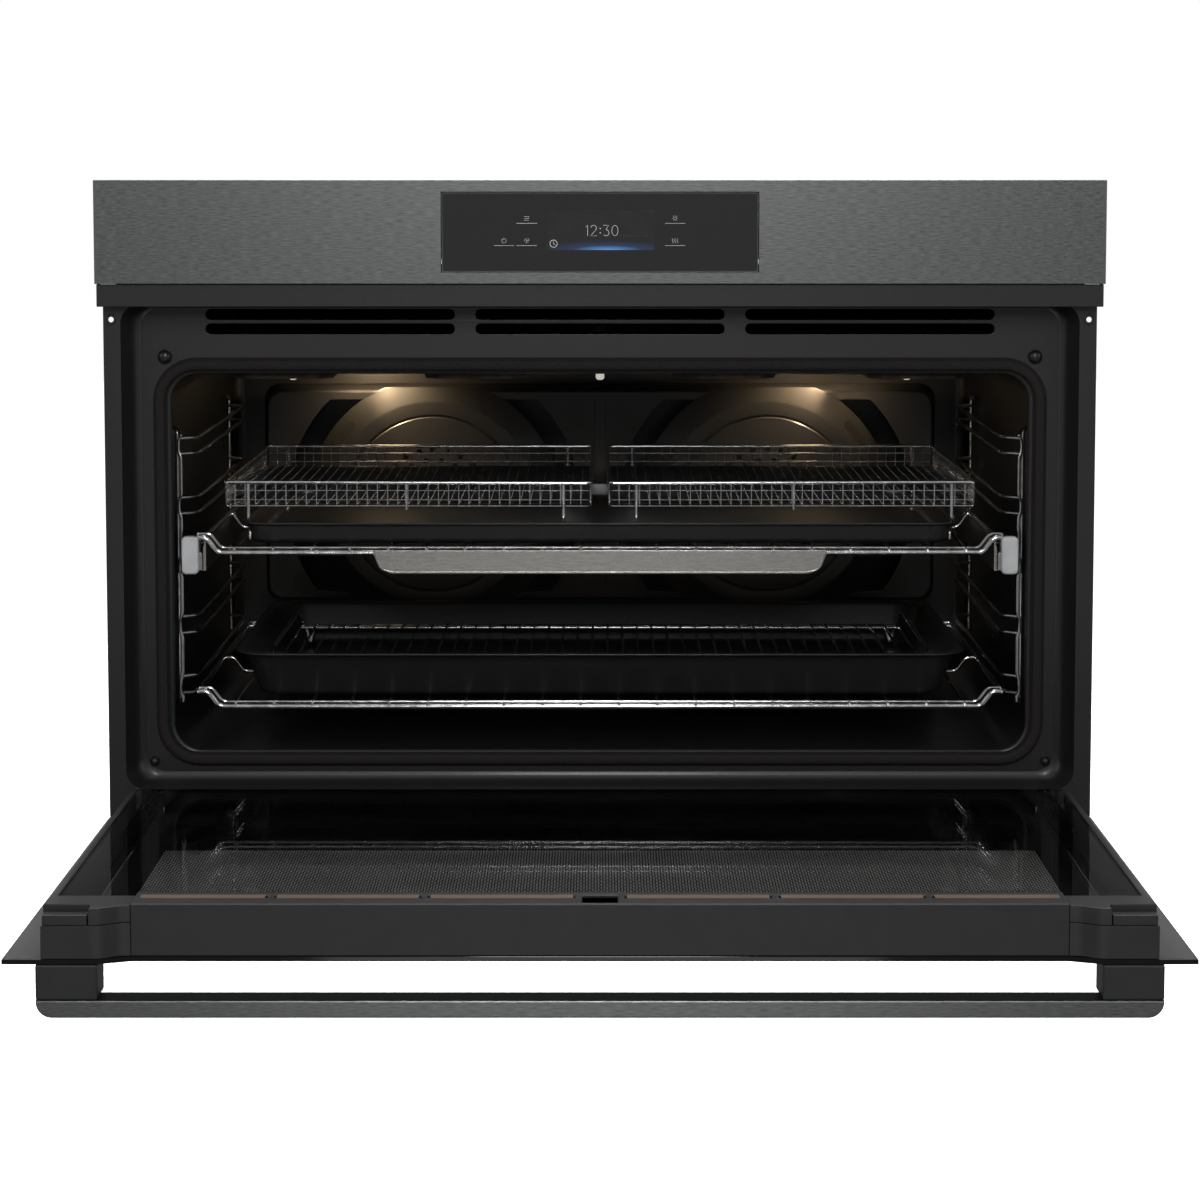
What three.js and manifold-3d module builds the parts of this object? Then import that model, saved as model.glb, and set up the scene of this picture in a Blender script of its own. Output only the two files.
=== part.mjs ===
// Built-in wall oven, 900 mm wide, with a drop-down door that stands open at rest.
// X runs across the front, Y runs into the cabinet, Z runs up.
// Pieces are drawn with Y measured from the fascia's front face and Z from the underside of the base.
// The last step moves the whole oven so that its origin is the middle of the base underside.
import * as THREE from "three";
import { mergeVertices } from "three/addons/utils/BufferGeometryUtils.js";
import Module from "manifold-3d";

const wasm = await Module();
wasm.setup();

// ---- driving dimensions, millimetres ----
const BASE_CENTRE_Y = 300;
const GAP = 0.3; // between pieces that touch
const SHEET = 1.2; // steel sheet
const GLASS = 4; // every pane

const FASCIA = { half: 447.5, bottom: 506.3, top: 598, depth: 20 };
const DISPLAY = { half: 139.9, bottom: 517, top: 587, proud: 0.6, corner: 1.5 };
const TRIM = { half: 446.5, bottom: 485.9, front: 4, back: 20 };
const FLANGE = { half: 443.9, bottom: 22, top: 503, y: 22, thick: 1.5 };
const FLOOR_Y = 48; // the recess floor, which the gasket lies on
const OPENING = { half: 387.6, bottom: 79.2, top: 423.1, radius: 25, lip: 6 };
const CAVITY = { half: 392, bottom: 75, top: 427, radius: 26, front: 50.3, back: 533, wall: 2 };
const INSULATION = { half: 412, bottom: 46, top: 447, front: 52, back: 548, clear: 0.5, heaterClear: 6.5 };
const CASING = { half: 432, top: 590, front: 24, base: 46, fasciaSide: 20.3, back: 565 };

const FAN = { x: 174.5, z: 257.7, radius: 62, hub: 11, shaft: 4 };
const FAN_BLADE = { count: 10, root: 30, half: 0.8 };
const FAN_Y = { hub: [478, 510], blades: [482, 505], plate: [504, 505.5], shaft: [505, 560] };
const FAN_COVER = { half: 354.5, bottom: 158.5, top: 381.8, front: 464, back: 496, corner: 20 };
const LAMP = { x: 216, y: 440, radius: 19, rim: 3, lens: 414, stemTop: 452 };

const RACK = { post: 386, rung: 369.4, front: 72, back: 441, bottom: 118, top: 372, bend: 13 };
const RACK_WIRE = { post: 2.3, rung: 2, tie: 1.8, tieInset: 2 };
const RUNG_LEVELS = [[127, 142.8], [182.7, 198], [238.5, 253], [293.2, 307.9], [348.3, 362.6]];
const SHELF = { front: 52, pitch: 70, drop: 13.5, foot: 12, shoulder: 5, middle: 240 };
const SHELF_WIRE = { heavy: 2.5, middle: 2.2, light: 1.5 };
const UPPER_SHELF = { side: 361, sideZ: 273.5, rear: 440 };
const LOWER_SHELF = { side: 368, sideZ: 132, rear: 436 };
const RUNNER = { front: 70, back: 430, bottom: 241, top: 267.5, wall: 1.5, width: 6 };

const HINGE = { y: 14, z: 29, x: 403, pin: 4 };
const DOOR = { half: 447.5, bottom: 4, top: 483, inner: 418, face: 41, cap: 44 };
const DOOR_RECESS = { half: 352, shoulder: 377, depth: 8.7 }; // along the middle of the door's top edge
const HANDLE = { half: 422.5, bottom: 459, top: 483, back: -27.4, front: -41, corner: 12 };
const POST = { inner: 376, bottom: 452 };

// ---- materials ----
function material(color, roughness, metalness) {
  return new THREE.MeshStandardMaterial({ color, roughness, metalness });
}

const darkSteel = () => material(0x5b5e60, 0.38, 0.9);
const stainless = () => material(0xb9b7b2, 0.3, 0.95);
const chrome = () => material(0xcfcfd0, 0.15, 1);
const enamel = () => material(0x1d1e20, 0.32, 0.1);
const blackGlass = () => material(0x0c0d0f, 0.05, 0);
const blackPlastic = () => material(0x232426, 0.5, 0);
const palePlastic = () => material(0xb5b7b8, 0.45, 0);
const braid = () => material(0x29241f, 0.9, 0);
const rubber = () => material(0x161616, 0.75, 0);
const galvanised = () => material(0x9aa0a3, 0.45, 0.8);
const mineralWool = () => material(0xc9b98f, 0.95, 0);
const heater = () => material(0x4a4642, 0.5, 0.6);
const circuit = () => material(0x1f4d33, 0.6, 0);
const lampGlass = () => material(0xf2e6c8, 0.1, 0);

// ---- solids: joining, cutting and mirroring ----
function toSolid(geometry) {
  const bare = geometry.clone();
  bare.deleteAttribute("normal");
  bare.deleteAttribute("uv");
  const merged = mergeVertices(bare, 1e-4);
  const vertProperties = new Float32Array(merged.attributes.position.array);
  const triVerts = new Uint32Array(merged.index.array);
  return new wasm.Manifold(new wasm.Mesh({ numProp: 3, vertProperties, triVerts }));
}

function toGeometry(solid) {
  const mesh = solid.getMesh();
  const geometry = new THREE.BufferGeometry();
  geometry.setAttribute("position", new THREE.BufferAttribute(mesh.vertProperties, 3));
  geometry.setIndex(new THREE.BufferAttribute(mesh.triVerts, 1));
  return geometry;
}

function join(...geometries) {
  return toGeometry(geometries.map(toSolid).reduce((sum, solid) => sum.add(solid)));
}

function cut(geometry, ...tools) {
  const bodies = tools.map(toSolid);
  return toGeometry(bodies.reduce((rest, tool) => rest.subtract(tool), toSolid(geometry)));
}

function flipped(geometry) {
  const index = geometry.index.array;
  for (let i = 0; i < index.length; i += 3) {
    const first = index[i];
    index[i] = index[i + 1];
    index[i + 1] = first;
  }
  return geometry;
}

function mirroredX(geometry) {
  const bare = geometry.clone();
  bare.deleteAttribute("normal");
  bare.deleteAttribute("uv");
  return flipped(mergeVertices(bare, 1e-4).scale(-1, 1, 1));
}

// ---- basic shapes ----
function slab([x0, x1], [y0, y1], [z0, z1]) {
  const geometry = new THREE.BoxGeometry(x1 - x0, y1 - y0, z1 - z0);
  return geometry.translate((x0 + x1) / 2, (y0 + y1) / 2, (z0 + z1) / 2);
}

function discY([x, z], [y0, y1], radius, sides = 24) {
  return new THREE.CylinderGeometry(radius, radius, y1 - y0, sides).translate(x, (y0 + y1) / 2, z);
}

function discX([y, z], [x0, x1], radius, sides = 16) {
  const geometry = new THREE.CylinderGeometry(radius, radius, x1 - x0, sides);
  return geometry.rotateZ(Math.PI / 2).translate((x0 + x1) / 2, y, z);
}

function discZ([x, y], [z0, z1], radius, sides = 24) {
  const geometry = new THREE.CylinderGeometry(radius, radius, z1 - z0, sides);
  return geometry.rotateX(Math.PI / 2).translate(x, y, (z0 + z1) / 2);
}

function roundedRect([u0, u1], [v0, v1], radius) {
  const shape = new THREE.Shape();
  shape.moveTo(u0 + radius, v0);
  shape.absarc(u1 - radius, v0 + radius, radius, -Math.PI / 2, 0);
  shape.absarc(u1 - radius, v1 - radius, radius, 0, Math.PI / 2);
  shape.absarc(u0 + radius, v1 - radius, radius, Math.PI / 2, Math.PI);
  shape.absarc(u0 + radius, v0 + radius, radius, Math.PI, Math.PI * 1.5);
  return shape;
}

function polygon(points) {
  return new THREE.Shape(points.map(([u, v]) => new THREE.Vector2(u, v)));
}

// A shape drawn in X and Z, carried along Y.
function prismY(shape, [y0, y1], arcSteps = 3) {
  const options = { depth: y1 - y0, bevelEnabled: false, curveSegments: arcSteps };
  return new THREE.ExtrudeGeometry(shape, options).rotateX(Math.PI / 2).translate(0, y1, 0);
}

// A shape drawn in Y and Z, carried along X.
function prismX(shape, [x0, x1], arcSteps = 3) {
  const options = { depth: x1 - x0, bevelEnabled: false, curveSegments: arcSteps };
  const turn = new THREE.Matrix4().makeBasis(
    new THREE.Vector3(0, 1, 0),
    new THREE.Vector3(0, 0, 1),
    new THREE.Vector3(1, 0, 0),
  );
  return new THREE.ExtrudeGeometry(shape, options).applyMatrix4(turn).translate(x0, 0, 0);
}

// A shape drawn in X and Y, carried along Z.
function prismZ(shape, [z0, z1], arcSteps = 3) {
  const options = { depth: z1 - z0, bevelEnabled: false, curveSegments: arcSteps };
  return new THREE.ExtrudeGeometry(shape, options).translate(0, 0, z0);
}

// A solid skin through outlines with the same number of points, closed by a flat cap at each end.
// Outlines rise along Z, or with alongY they are drawn in X and Z and follow each other along Y.
function loft(levels, alongY = false) {
  const place = (u, v, at) => (alongY ? [u, at, v] : [u, v, at]);
  const loops = levels.map((level) => level.shape.getPoints(3).slice(0, -1));
  const count = loops[0].length;
  const positions = [];
  loops.forEach((loop, i) => loop.forEach((p) => positions.push(...place(p.x, p.y, levels[i].at))));
  const triangles = [];
  for (let i = 0; i < loops.length - 1; i += 1) {
    for (let j = 0; j < count; j += 1) {
      const a = i * count + j;
      const b = i * count + ((j + 1) % count);
      triangles.push(a, b, a + count, b, b + count, a + count);
    }
  }
  const last = (loops.length - 1) * count;
  const cap = THREE.ShapeUtils.triangulateShape(loops[0], []);
  cap.forEach(([a, b, c]) => triangles.push(a, c, b, last + a, last + b, last + c));
  const geometry = new THREE.BufferGeometry();
  geometry.setAttribute("position", new THREE.Float32BufferAttribute(positions, 3));
  geometry.setIndex(triangles);
  return alongY ? flipped(geometry) : geometry;
}

// A path that turns at given points, with the section mitred at each turn.
class BentPath extends THREE.Curve {
  constructor(points) {
    super();
    this.points = points;
  }

  getPointAt(u) {
    return this.points[Math.round(u * (this.points.length - 1))].clone();
  }

  getTangentAt(u) {
    const i = Math.round(u * (this.points.length - 1));
    const before = this.points[Math.max(i - 1, 0)];
    const here = this.points[i];
    const after = this.points[Math.min(i + 1, this.points.length - 1)];
    const arriving = here.clone().sub(before).normalize();
    const leaving = after.clone().sub(here).normalize();
    return arriving.add(leaving).normalize();
  }
}

function wire(corners, radius, sides = 6) {
  const points = corners.map((corner) => new THREE.Vector3(...corner));
  const section = new THREE.Shape();
  for (let i = 0; i < sides; i += 1) {
    const angle = ((i + 0.5) / sides) * Math.PI * 2;
    section[i === 0 ? "moveTo" : "lineTo"](radius * Math.cos(angle), radius * Math.sin(angle));
  }
  const path = new BentPath(points);
  return new THREE.ExtrudeGeometry(section, { steps: points.length - 1, extrudePath: path });
}

// Corners softened into short chamfers, so that a bent rod turns in two steps.
function softened(corners, cutBack) {
  const points = corners.map((corner) => new THREE.Vector3(...corner));
  const result = [points[0]];
  for (let i = 1; i < points.length - 1; i += 1) {
    const back = points[i - 1].clone().sub(points[i]);
    const ahead = points[i + 1].clone().sub(points[i]);
    result.push(points[i].clone().addScaledVector(back.normalize(), cutBack));
    result.push(points[i].clone().addScaledVector(ahead.normalize(), cutBack));
  }
  result.push(points[points.length - 1]);
  return result.map((p) => p.toArray());
}

// ---- the oven and its door ----
const oven = new THREE.Group();
oven.position.y = -BASE_CENTRE_Y;

// The door is drawn closed and turned about its hinge until it lies open.
const door = new THREE.Group();
door.rotation.x = Math.PI / 2;
door.position.set(0, HINGE.y + HINGE.z, HINGE.z - HINGE.y);
oven.add(door);

function add(name, geometry, finish, parent = oven) {
  const mesh = new THREE.Mesh(geometry, finish);
  mesh.name = name;
  parent.add(mesh);
}

function addPair(name, rightGeometry, finish, parent = oven) {
  add(`${name}_left`, mirroredX(rightGeometry), finish(), parent);
  add(`${name}_right`, rightGeometry, finish(), parent);
}

// ---- front: fascia, display, trim, frame ----
function controlFascia() {
  const { half, bottom, top, depth } = FASCIA;
  const body = slab([-half, half], [0, depth], [bottom, top]);
  const hollow = slab(
    [-half + SHEET, half - SHEET],
    [SHEET, depth + 1],
    [bottom + SHEET, top - SHEET],
  );
  const window = slab(
    [-DISPLAY.half - GAP, DISPLAY.half + GAP],
    [-1, SHEET + 1],
    [DISPLAY.bottom - GAP, DISPLAY.top + GAP],
  );
  return cut(body, hollow, window);
}

function displayGlass() {
  const outline = roundedRect(
    [-DISPLAY.half, DISPLAY.half],
    [DISPLAY.bottom, DISPLAY.top],
    DISPLAY.corner,
  );
  return prismY(outline, [-DISPLAY.proud, GLASS - DISPLAY.proud], 1);
}

function lowerTrim() {
  const { half, bottom, front, back } = TRIM;
  const top = FASCIA.bottom - GAP;
  const body = slab([-half, half], [front, back], [bottom, top]);
  const hollow = slab(
    [-half + SHEET, half - SHEET],
    [front + SHEET, back + 1],
    [bottom + SHEET, top + 1],
  );
  return cut(body, hollow);
}

// The recess narrows from the flange to a fillet that runs into its floor.
const RECESS = [
  { y: FLANGE.y, half: 428.4, bottom: 47.5, top: 488 },
  { y: 41, half: 423, bottom: 50.3, top: 486.5 },
  { y: 46, half: 419.5, bottom: 54, top: 485.5 },
  { y: FLOOR_Y, half: 415, bottom: 58.5, top: 484 },
];
const RECESS_RADIUS = 18;

function recessSolid(grow, shift) {
  const levels = RECESS.map(({ y, half, bottom, top }) => ({
    at: y + shift,
    shape: roundedRect([-half - grow, half + grow], [bottom - grow, top + grow], RECESS_RADIUS),
  }));
  const mouth = { at: FLANGE.y + Math.min(shift - 1, 0), shape: levels[0].shape };
  return loft([mouth, ...levels], true);
}

const VENT = { height: 9.8, rows: [463.99, 477], spans: [[-356, -131], [-112.4, 112.4], [131, 356]] };
const FRAME_SCREW = { x: 436.8, z: 473.7, radius: 2.2, head: 5, lead: 1.5 };
const HINGE_SLOT = { inner: 391, outer: 415, bottom: 24, top: 45 };

function ventSlots() {
  const slots = [];
  for (const z of VENT.rows) {
    for (const span of VENT.spans) {
      const rows = [z - VENT.height / 2, z + VENT.height / 2];
      const shape = roundedRect(span, rows, VENT.height / 2 - 0.01);
      slots.push(prismY(shape, [FLOOR_Y - 5, FLOOR_Y + 5], 1));
    }
  }
  return slots;
}

function frameHoles() {
  const holes = [];
  for (const side of [-1, 1]) {
    const { x, z, radius, head, lead } = FRAME_SCREW;
    const depth = head - radius;
    holes.push(discY([side * x, z], [FLANGE.y - 1, FLANGE.y + 5], radius, 12));
    const sink = new THREE.CylinderGeometry(radius, head, depth, 12);
    holes.push(sink.translate(side * x, FLANGE.y + depth / 2 - lead, z));
    const edges = [HINGE_SLOT.inner, HINGE_SLOT.outer].map((edge) => side * edge);
    const span = edges.sort((a, b) => a - b);
    holes.push(slab(span, [FLANGE.y - 1, FLOOR_Y + 5], [HINGE_SLOT.bottom, HINGE_SLOT.top]));
  }
  return holes;
}

function frontFrame() {
  const { half, bottom, top, y, thick } = FLANGE;
  const plate = slab([-half, half], [y, y + thick], [bottom, top]);
  const skin = recessSolid(thick, thick);
  const lip = prismY(
    roundedRect(
      [-OPENING.half - thick, OPENING.half + thick],
      [OPENING.bottom - thick, OPENING.top + thick],
      OPENING.radius + thick,
    ),
    [FLOOR_Y, FLOOR_Y + OPENING.lip],
  );
  const mouth = prismY(
    roundedRect([-OPENING.half, OPENING.half], [OPENING.bottom, OPENING.top], OPENING.radius),
    [FLOOR_Y - 1, FLOOR_Y + OPENING.lip + 1],
  );
  return cut(join(plate, skin, lip), recessSolid(0, 0), mouth, ...ventSlots(), ...frameHoles());
}

const GASKET = { half: 402.5, bottom: 66, top: 436.5, radius: 38, width: 10, front: 41.4 };

function doorGasket() {
  const { half, bottom, top, radius, width, front } = GASKET;
  const outer = roundedRect([-half, half], [bottom, top], radius);
  const inner = roundedRect(
    [-half + width, half - width],
    [bottom + width, top - width],
    radius - width,
  );
  return cut(prismY(outer, [front, FLOOR_Y - GAP]), prismY(inner, [front - 1, FLOOR_Y]));
}

const UPPER_BUMPER = { x: 392.8, z: 438.8, radius: 6.4 };
const LOWER_BUMPER = { x: 406.3, z: 69.1, radius: 4.35 };
const BUMPER_PROFILE = [[0, 0], [1, 0], [1, 2.5], [0.75, 4.8], [0, 6.2]]; // share of the radius, height

function bumper({ x, z, radius }) {
  const base = FLOOR_Y - GAP;
  const points = BUMPER_PROFILE.map(([share, high]) => new THREE.Vector2(radius * share, high - base));
  return new THREE.LatheGeometry(points, 12).rotateX(Math.PI).translate(x, 0, z);
}

// ---- cavity ----
const FAN_SIDES = [["left", -1], ["right", 1]];
const RING = { radius: 88, tube: 3.4, y: 486, gapAngle: 0.16 };

function ringEndX(side, which) {
  return side * FAN.x + which * RING.radius * Math.sin(RING.gapAngle);
}

const RING_END_Z = FAN.z + RING.radius * Math.cos(RING.gapAngle);
const GRILL = {
  z: 417, tube: 3.4, endX: 35, back: 480, front: 115, turn: 400, lanes: [340, 250, 160, 70],
};
const BOTTOM_HEAT = {
  z: 66.5, tube: 3, endX: 120, back: 500, front: 110, turn: 430, lanes: [330, 200, 70],
};
const ELEMENT_END = 546; // the heaters' ends come out behind the back wall
const ELEMENT_BEND = 12;
const WALL_HOLE = { shaft: 7, element: 5 };

function backWallHoles(extra, depth) {
  const holes = [];
  for (const [, side] of FAN_SIDES) {
    holes.push(discY([side * FAN.x, FAN.z], depth, WALL_HOLE.shaft + extra, 12));
    for (const which of [-1, 1]) {
      holes.push(discY([ringEndX(side, which), RING_END_Z], depth, WALL_HOLE.element + extra, 8));
    }
    holes.push(discY([side * GRILL.endX, GRILL.z], depth, WALL_HOLE.element + extra, 8));
  }
  return holes;
}

function lampHoles(height, radius, sides) {
  return [-1, 1].map((side) => discZ([side * LAMP.x, LAMP.y], height, radius, sides));
}

function cavityLiner() {
  const { half, bottom, top, radius, front, back, wall } = CAVITY;
  const outline = (grow) => roundedRect(
    [-half - grow, half + grow],
    [bottom - grow, top + grow],
    radius + grow,
  );
  const outer = prismY(outline(wall), [front, back]);
  const inside = prismY(outline(0), [front - 1, back - wall]);
  const lamps = lampHoles([top - 5, top + 5], LAMP.radius, 16);
  return cut(outer, inside, ...backWallHoles(0, [back - 10, back + 5]), ...lamps);
}

function insulation() {
  const { half, bottom, top, front, back, clear, heaterClear } = INSULATION;
  const outer = slab([-half, half], [front, back], [bottom, top]);
  const away = CAVITY.wall + clear;
  const inside = slab(
    [-CAVITY.half - away, CAVITY.half + away],
    [front - 1, CAVITY.back + clear],
    [BOTTOM_HEAT.z - heaterClear, CAVITY.top + away],
  );
  const lamps = lampHoles([top - 30, top + 5], LAMP.radius + LAMP.rim, 12);
  const through = [back - 30, back + 5];
  const heatHoles = [-1, 1].map((side) => (
    discY([side * BOTTOM_HEAT.endX, BOTTOM_HEAT.z], through, WALL_HOLE.element, 8)
  ));
  return cut(outer, inside, ...backWallHoles(3, through), ...lamps, ...heatHoles);
}

const DISC = { radius: 107, proud: 3, holeRing: 58, holeRadius: 5, holes: 8 };
const ARC_SLOT = { inner: 132, outer: 152, spread: 0.62 };

function arcOpening(centreX, angle) {
  const { inner, outer, spread } = ARC_SLOT;
  const shape = new THREE.Shape();
  shape.absarc(centreX, FAN.z, outer, angle - spread, angle + spread);
  shape.absarc(centreX, FAN.z, inner, angle + spread, angle - spread, true);
  return prismY(shape, [FAN_COVER.front - 9, FAN_COVER.front + 9], 4);
}

function fanCover() {
  const { half, bottom, top, front, back, corner } = FAN_COVER;
  const outline = (shrink) => roundedRect(
    [-half + shrink, half - shrink],
    [bottom + shrink, top - shrink],
    corner - shrink,
  );
  const discs = FAN_SIDES.map(([, side]) => (
    discY([side * FAN.x, FAN.z], [front - DISC.proud, front + SHEET], DISC.radius, 24)
  ));
  const dishes = FAN_SIDES.map(([, side]) => (
    discY([side * FAN.x, FAN.z], [front - DISC.proud + SHEET, front + 9], DISC.radius - SHEET, 24)
  ));
  const openings = [];
  for (const [, side] of FAN_SIDES) {
    openings.push(arcOpening(side * FAN.x, side > 0 ? 0 : Math.PI));
    for (let i = 0; i < DISC.holes; i += 1) {
      const angle = (i / DISC.holes) * Math.PI * 2;
      const x = side * FAN.x + DISC.holeRing * Math.cos(angle);
      const z = FAN.z + DISC.holeRing * Math.sin(angle);
      openings.push(discY([x, z], [front - 9, front + 9], DISC.holeRadius, 6));
    }
  }
  const hollow = prismY(outline(SHEET), [front + SHEET, back + 1]);
  return cut(join(prismY(outline(0), [front, back]), ...discs), hollow, ...dishes, ...openings);
}

function convectionFan(side) {
  const centre = [side * FAN.x, FAN.z];
  const pieces = [
    discY(centre, FAN_Y.plate, FAN.radius, 24),
    discY(centre, FAN_Y.hub, FAN.hub, 12),
    discY(centre, FAN_Y.shaft, FAN.shaft, 8),
  ];
  const { count, root, half } = FAN_BLADE;
  for (let i = 0; i < count; i += 1) {
    const blade = slab([root, FAN.radius - 2], FAN_Y.blades, [-half, half]);
    blade.rotateY((i / count) * Math.PI * 2 + 0.3);
    pieces.push(blade.translate(centre[0], 0, centre[1]));
  }
  return join(...pieces);
}

const MOTOR = { radius: 34, y: [550, 563], strapY: [548.5, 551], strapHalf: 45, strapRise: 12, bore: 4.4 };

function fanMotor(side) {
  const [x, z] = [side * FAN.x, FAN.z];
  const body = discY([x, z], MOTOR.y, MOTOR.radius, 16);
  const strap = slab(
    [x - MOTOR.strapHalf, x + MOTOR.strapHalf],
    MOTOR.strapY,
    [z - MOTOR.strapRise, z + MOTOR.strapRise],
  );
  return cut(join(body, strap), discY([x, z], [MOTOR.y[0] - 10, MOTOR.y[1] - 2], MOTOR.bore, 8));
}

function ringElement(side) {
  const steps = 20;
  const points = [];
  const start = RING.gapAngle;
  const sweep = Math.PI * 2 - 2 * RING.gapAngle;
  points.push([ringEndX(side, 1), ELEMENT_END, RING_END_Z]);
  for (let i = 0; i <= steps; i += 1) {
    const angle = start + (i / steps) * sweep;
    const x = side * FAN.x + RING.radius * Math.sin(angle);
    points.push([x, RING.y, FAN.z + RING.radius * Math.cos(angle)]);
  }
  points.push([ringEndX(side, -1), ELEMENT_END, RING_END_Z]);
  return wire(points, RING.tube);
}

// A heater that folds to and fro in a horizontal plane, mirrored about the middle.
function foldedHeater({ z, tube, endX, back, front, turn, lanes }) {
  const half = [[endX, ELEMENT_END], [endX, back], [lanes[0], back], [lanes[0], front]];
  lanes.slice(1).forEach((x, i) => {
    const far = i % 2 === 0;
    half.push([x, far ? front : turn], [x, far ? turn : front]);
  });
  const right = half.map(([x, y]) => [x, y, z]);
  const left = [...half].reverse().map(([x, y]) => [-x, y, z]);
  return wire(softened([...right, ...left], ELEMENT_BEND), tube);
}

function ovenLamp(side) {
  const centre = [side * LAMP.x, LAMP.y];
  const lens = discZ(centre, [LAMP.lens, CAVITY.top - GAP], LAMP.radius + LAMP.rim, 20);
  const stem = discZ(centre, [CAVITY.top - 1, LAMP.stemTop], LAMP.radius - GAP - 1, 16);
  return join(lens, stem);
}

// ---- racks, runners, shelves, trays and baskets ----
function sideRack() {
  const { post, rung, front, back, bottom, top, bend } = RACK;
  const tie = post - 1;
  const low = bottom + RACK_WIRE.tieInset;
  const high = top - RACK_WIRE.tieInset;
  const pieces = [
    wire([[post, front, bottom], [post, front, top]], RACK_WIRE.post),
    wire([[post, back, bottom], [post, back, top]], RACK_WIRE.post),
    wire([[tie, front, high], [tie, back, high]], RACK_WIRE.tie),
    wire([[tie, front, low], [tie, back, low]], RACK_WIRE.tie),
  ];
  for (const z of RUNG_LEVELS.flat()) {
    const path = [[post, front, z], [rung, front + bend, z], [rung, back - bend, z], [post, back, z]];
    pieces.push(wire(path, RACK_WIRE.rung, 4));
  }
  return join(...pieces);
}

const RAIL_OUTER = RACK.rung - RACK_WIRE.rung - GAP;

function runnerRail() {
  const { front, back, bottom, top, wall, width } = RUNNER;
  const body = slab([RAIL_OUTER - width, RAIL_OUTER], [front, back], [bottom, top]);
  const channel = slab(
    [RAIL_OUTER - width - 1, RAIL_OUTER - wall],
    [front - 1, back + 1],
    [bottom + wall, top - wall],
  );
  return cut(body, channel);
}

const SLIDE = { width: 8.2, ledge: 1.6, ledgeTop: 270.6, lead: 14, short: 5 };
const SLIDE_CAP = { x: [364.6, 380], y: [46.5, 56], z: [240.6, 275], corner: 3.5 };
const SLIDE_BRIDGE = { outer: 372, y: [50, 57], top: 262 };

function runnerSlide() {
  const { front, back, bottom, top, wall } = RUNNER;
  const floor = bottom + wall + GAP;
  const inner = RAIL_OUTER - SLIDE.width;
  const reach = [front - SLIDE.lead, back - SLIDE.short];
  const bar = slab([inner, RAIL_OUTER - wall - GAP], reach, [floor, top - wall - GAP]);
  const ledge = slab([inner, inner + SLIDE.ledge], reach, [floor, SLIDE.ledgeTop]);
  const cap = prismY(roundedRect(SLIDE_CAP.x, SLIDE_CAP.z, SLIDE_CAP.corner), SLIDE_CAP.y, 1);
  const bridge = slab([inner, SLIDE_BRIDGE.outer], SLIDE_BRIDGE.y, [floor, SLIDE_BRIDGE.top]);
  return join(bar, ledge, cap, bridge);
}

// A wire shelf: a heavy frame wire whose sides are raised, with light wires running back across it.
function wireShelf({ side, sideZ, rear }) {
  const { front, pitch, drop, foot, shoulder, middle } = SHELF;
  const { heavy, light } = SHELF_WIRE;
  const z = sideZ - drop;
  const rise = (y, sign) => [[sign * (side - foot), y, z], [sign * (side - shoulder), y, sideZ]];
  const corner = (y, turn, sign) => [...rise(y, sign), [sign * side, y + turn, sideZ]];
  const right = [...corner(front, shoulder, 1), ...corner(rear, -shoulder, 1).reverse()];
  const left = [...corner(rear, -shoulder, -1), ...corner(front, shoulder, -1).reverse()];
  const across = [
    [-side, middle, sideZ], ...rise(middle, -1).reverse(), ...rise(middle, 1), [side, middle, sideZ],
  ];
  const second = { x: side - foot - 2, y: front + shoulder, z: z + 0.6 };
  const pieces = [
    wire([[-1, front, z], ...right, [-1, rear, z]], heavy),
    wire([[1, rear, z], ...left, [1, front, z]], heavy),
    wire(across, SHELF_WIRE.middle),
    wire([[-second.x, second.y, second.z], [second.x, second.y, second.z]], light, 4),
  ];
  const lift = z + heavy * 0.8;
  for (let x = -4.5 * pitch; x <= 4.5 * pitch; x += pitch) {
    pieces.push(wire([[x, front, lift], [x, rear, lift]], light, 4));
  }
  return join(...pieces);
}

const PLATE_EDGE = [[186, 241], [190, 242], [204, 257], [206, 260], [206, 262.5]];
const PLATE_RIM = { half: 187, bottom: 241, top: 243.5, depth: 2, corner: 0.8 };

function shelfPlate() {
  const back = SHELF.front - SHELF_WIRE.heavy - GAP;
  const otherSide = [...PLATE_EDGE].reverse().map(([x, z]) => [-x, z]);
  const { half, bottom, top, depth, corner } = PLATE_RIM;
  const rim = prismX(roundedRect([back - depth, back], [bottom, top], corner), [-half, half], 1);
  return join(prismY(polygon([...PLATE_EDGE, ...otherSide]), [back - SHEET, back]), rim);
}

const SHALLOW_TRAY = {
  half: 330, front: 58, back: 425, bottom: 266.5, top: 286.5, slope: 3, rim: 5, radius: 26,
};
const DEEP_TRAY = {
  half: 337, front: 60, back: 391, bottom: 124, top: 165.7, slope: 12, rim: 8, radius: 34,
};
const TRAY_SHEET = 1.4;
const TRAY_FOOT = { inset: 3, rise: 4 };

// A pressed tray with sloping walls, rounded corners and a flat rim.
function pressedTray({ half, front, back, bottom, top, slope, rim, radius }) {
  const level = (inset, at) => ({
    at,
    shape: roundedRect(
      [-half + inset, half - inset],
      [front + inset, back - inset],
      radius - inset * 0.4,
    ),
  });
  const foot = rim + slope;
  const outer = loft([
    level(foot + TRAY_FOOT.inset, bottom),
    level(foot, bottom + TRAY_FOOT.rise),
    level(rim, top - TRAY_SHEET),
  ]);
  const collar = prismZ(level(0, 0).shape, [top - TRAY_SHEET, top]);
  const inner = loft([
    level(foot + TRAY_FOOT.inset + TRAY_SHEET, bottom + TRAY_SHEET),
    level(foot + TRAY_SHEET, bottom + TRAY_SHEET + TRAY_FOOT.inset),
    level(rim + TRAY_SHEET, top + 1),
  ]);
  return cut(join(outer, collar), inner);
}

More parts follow.
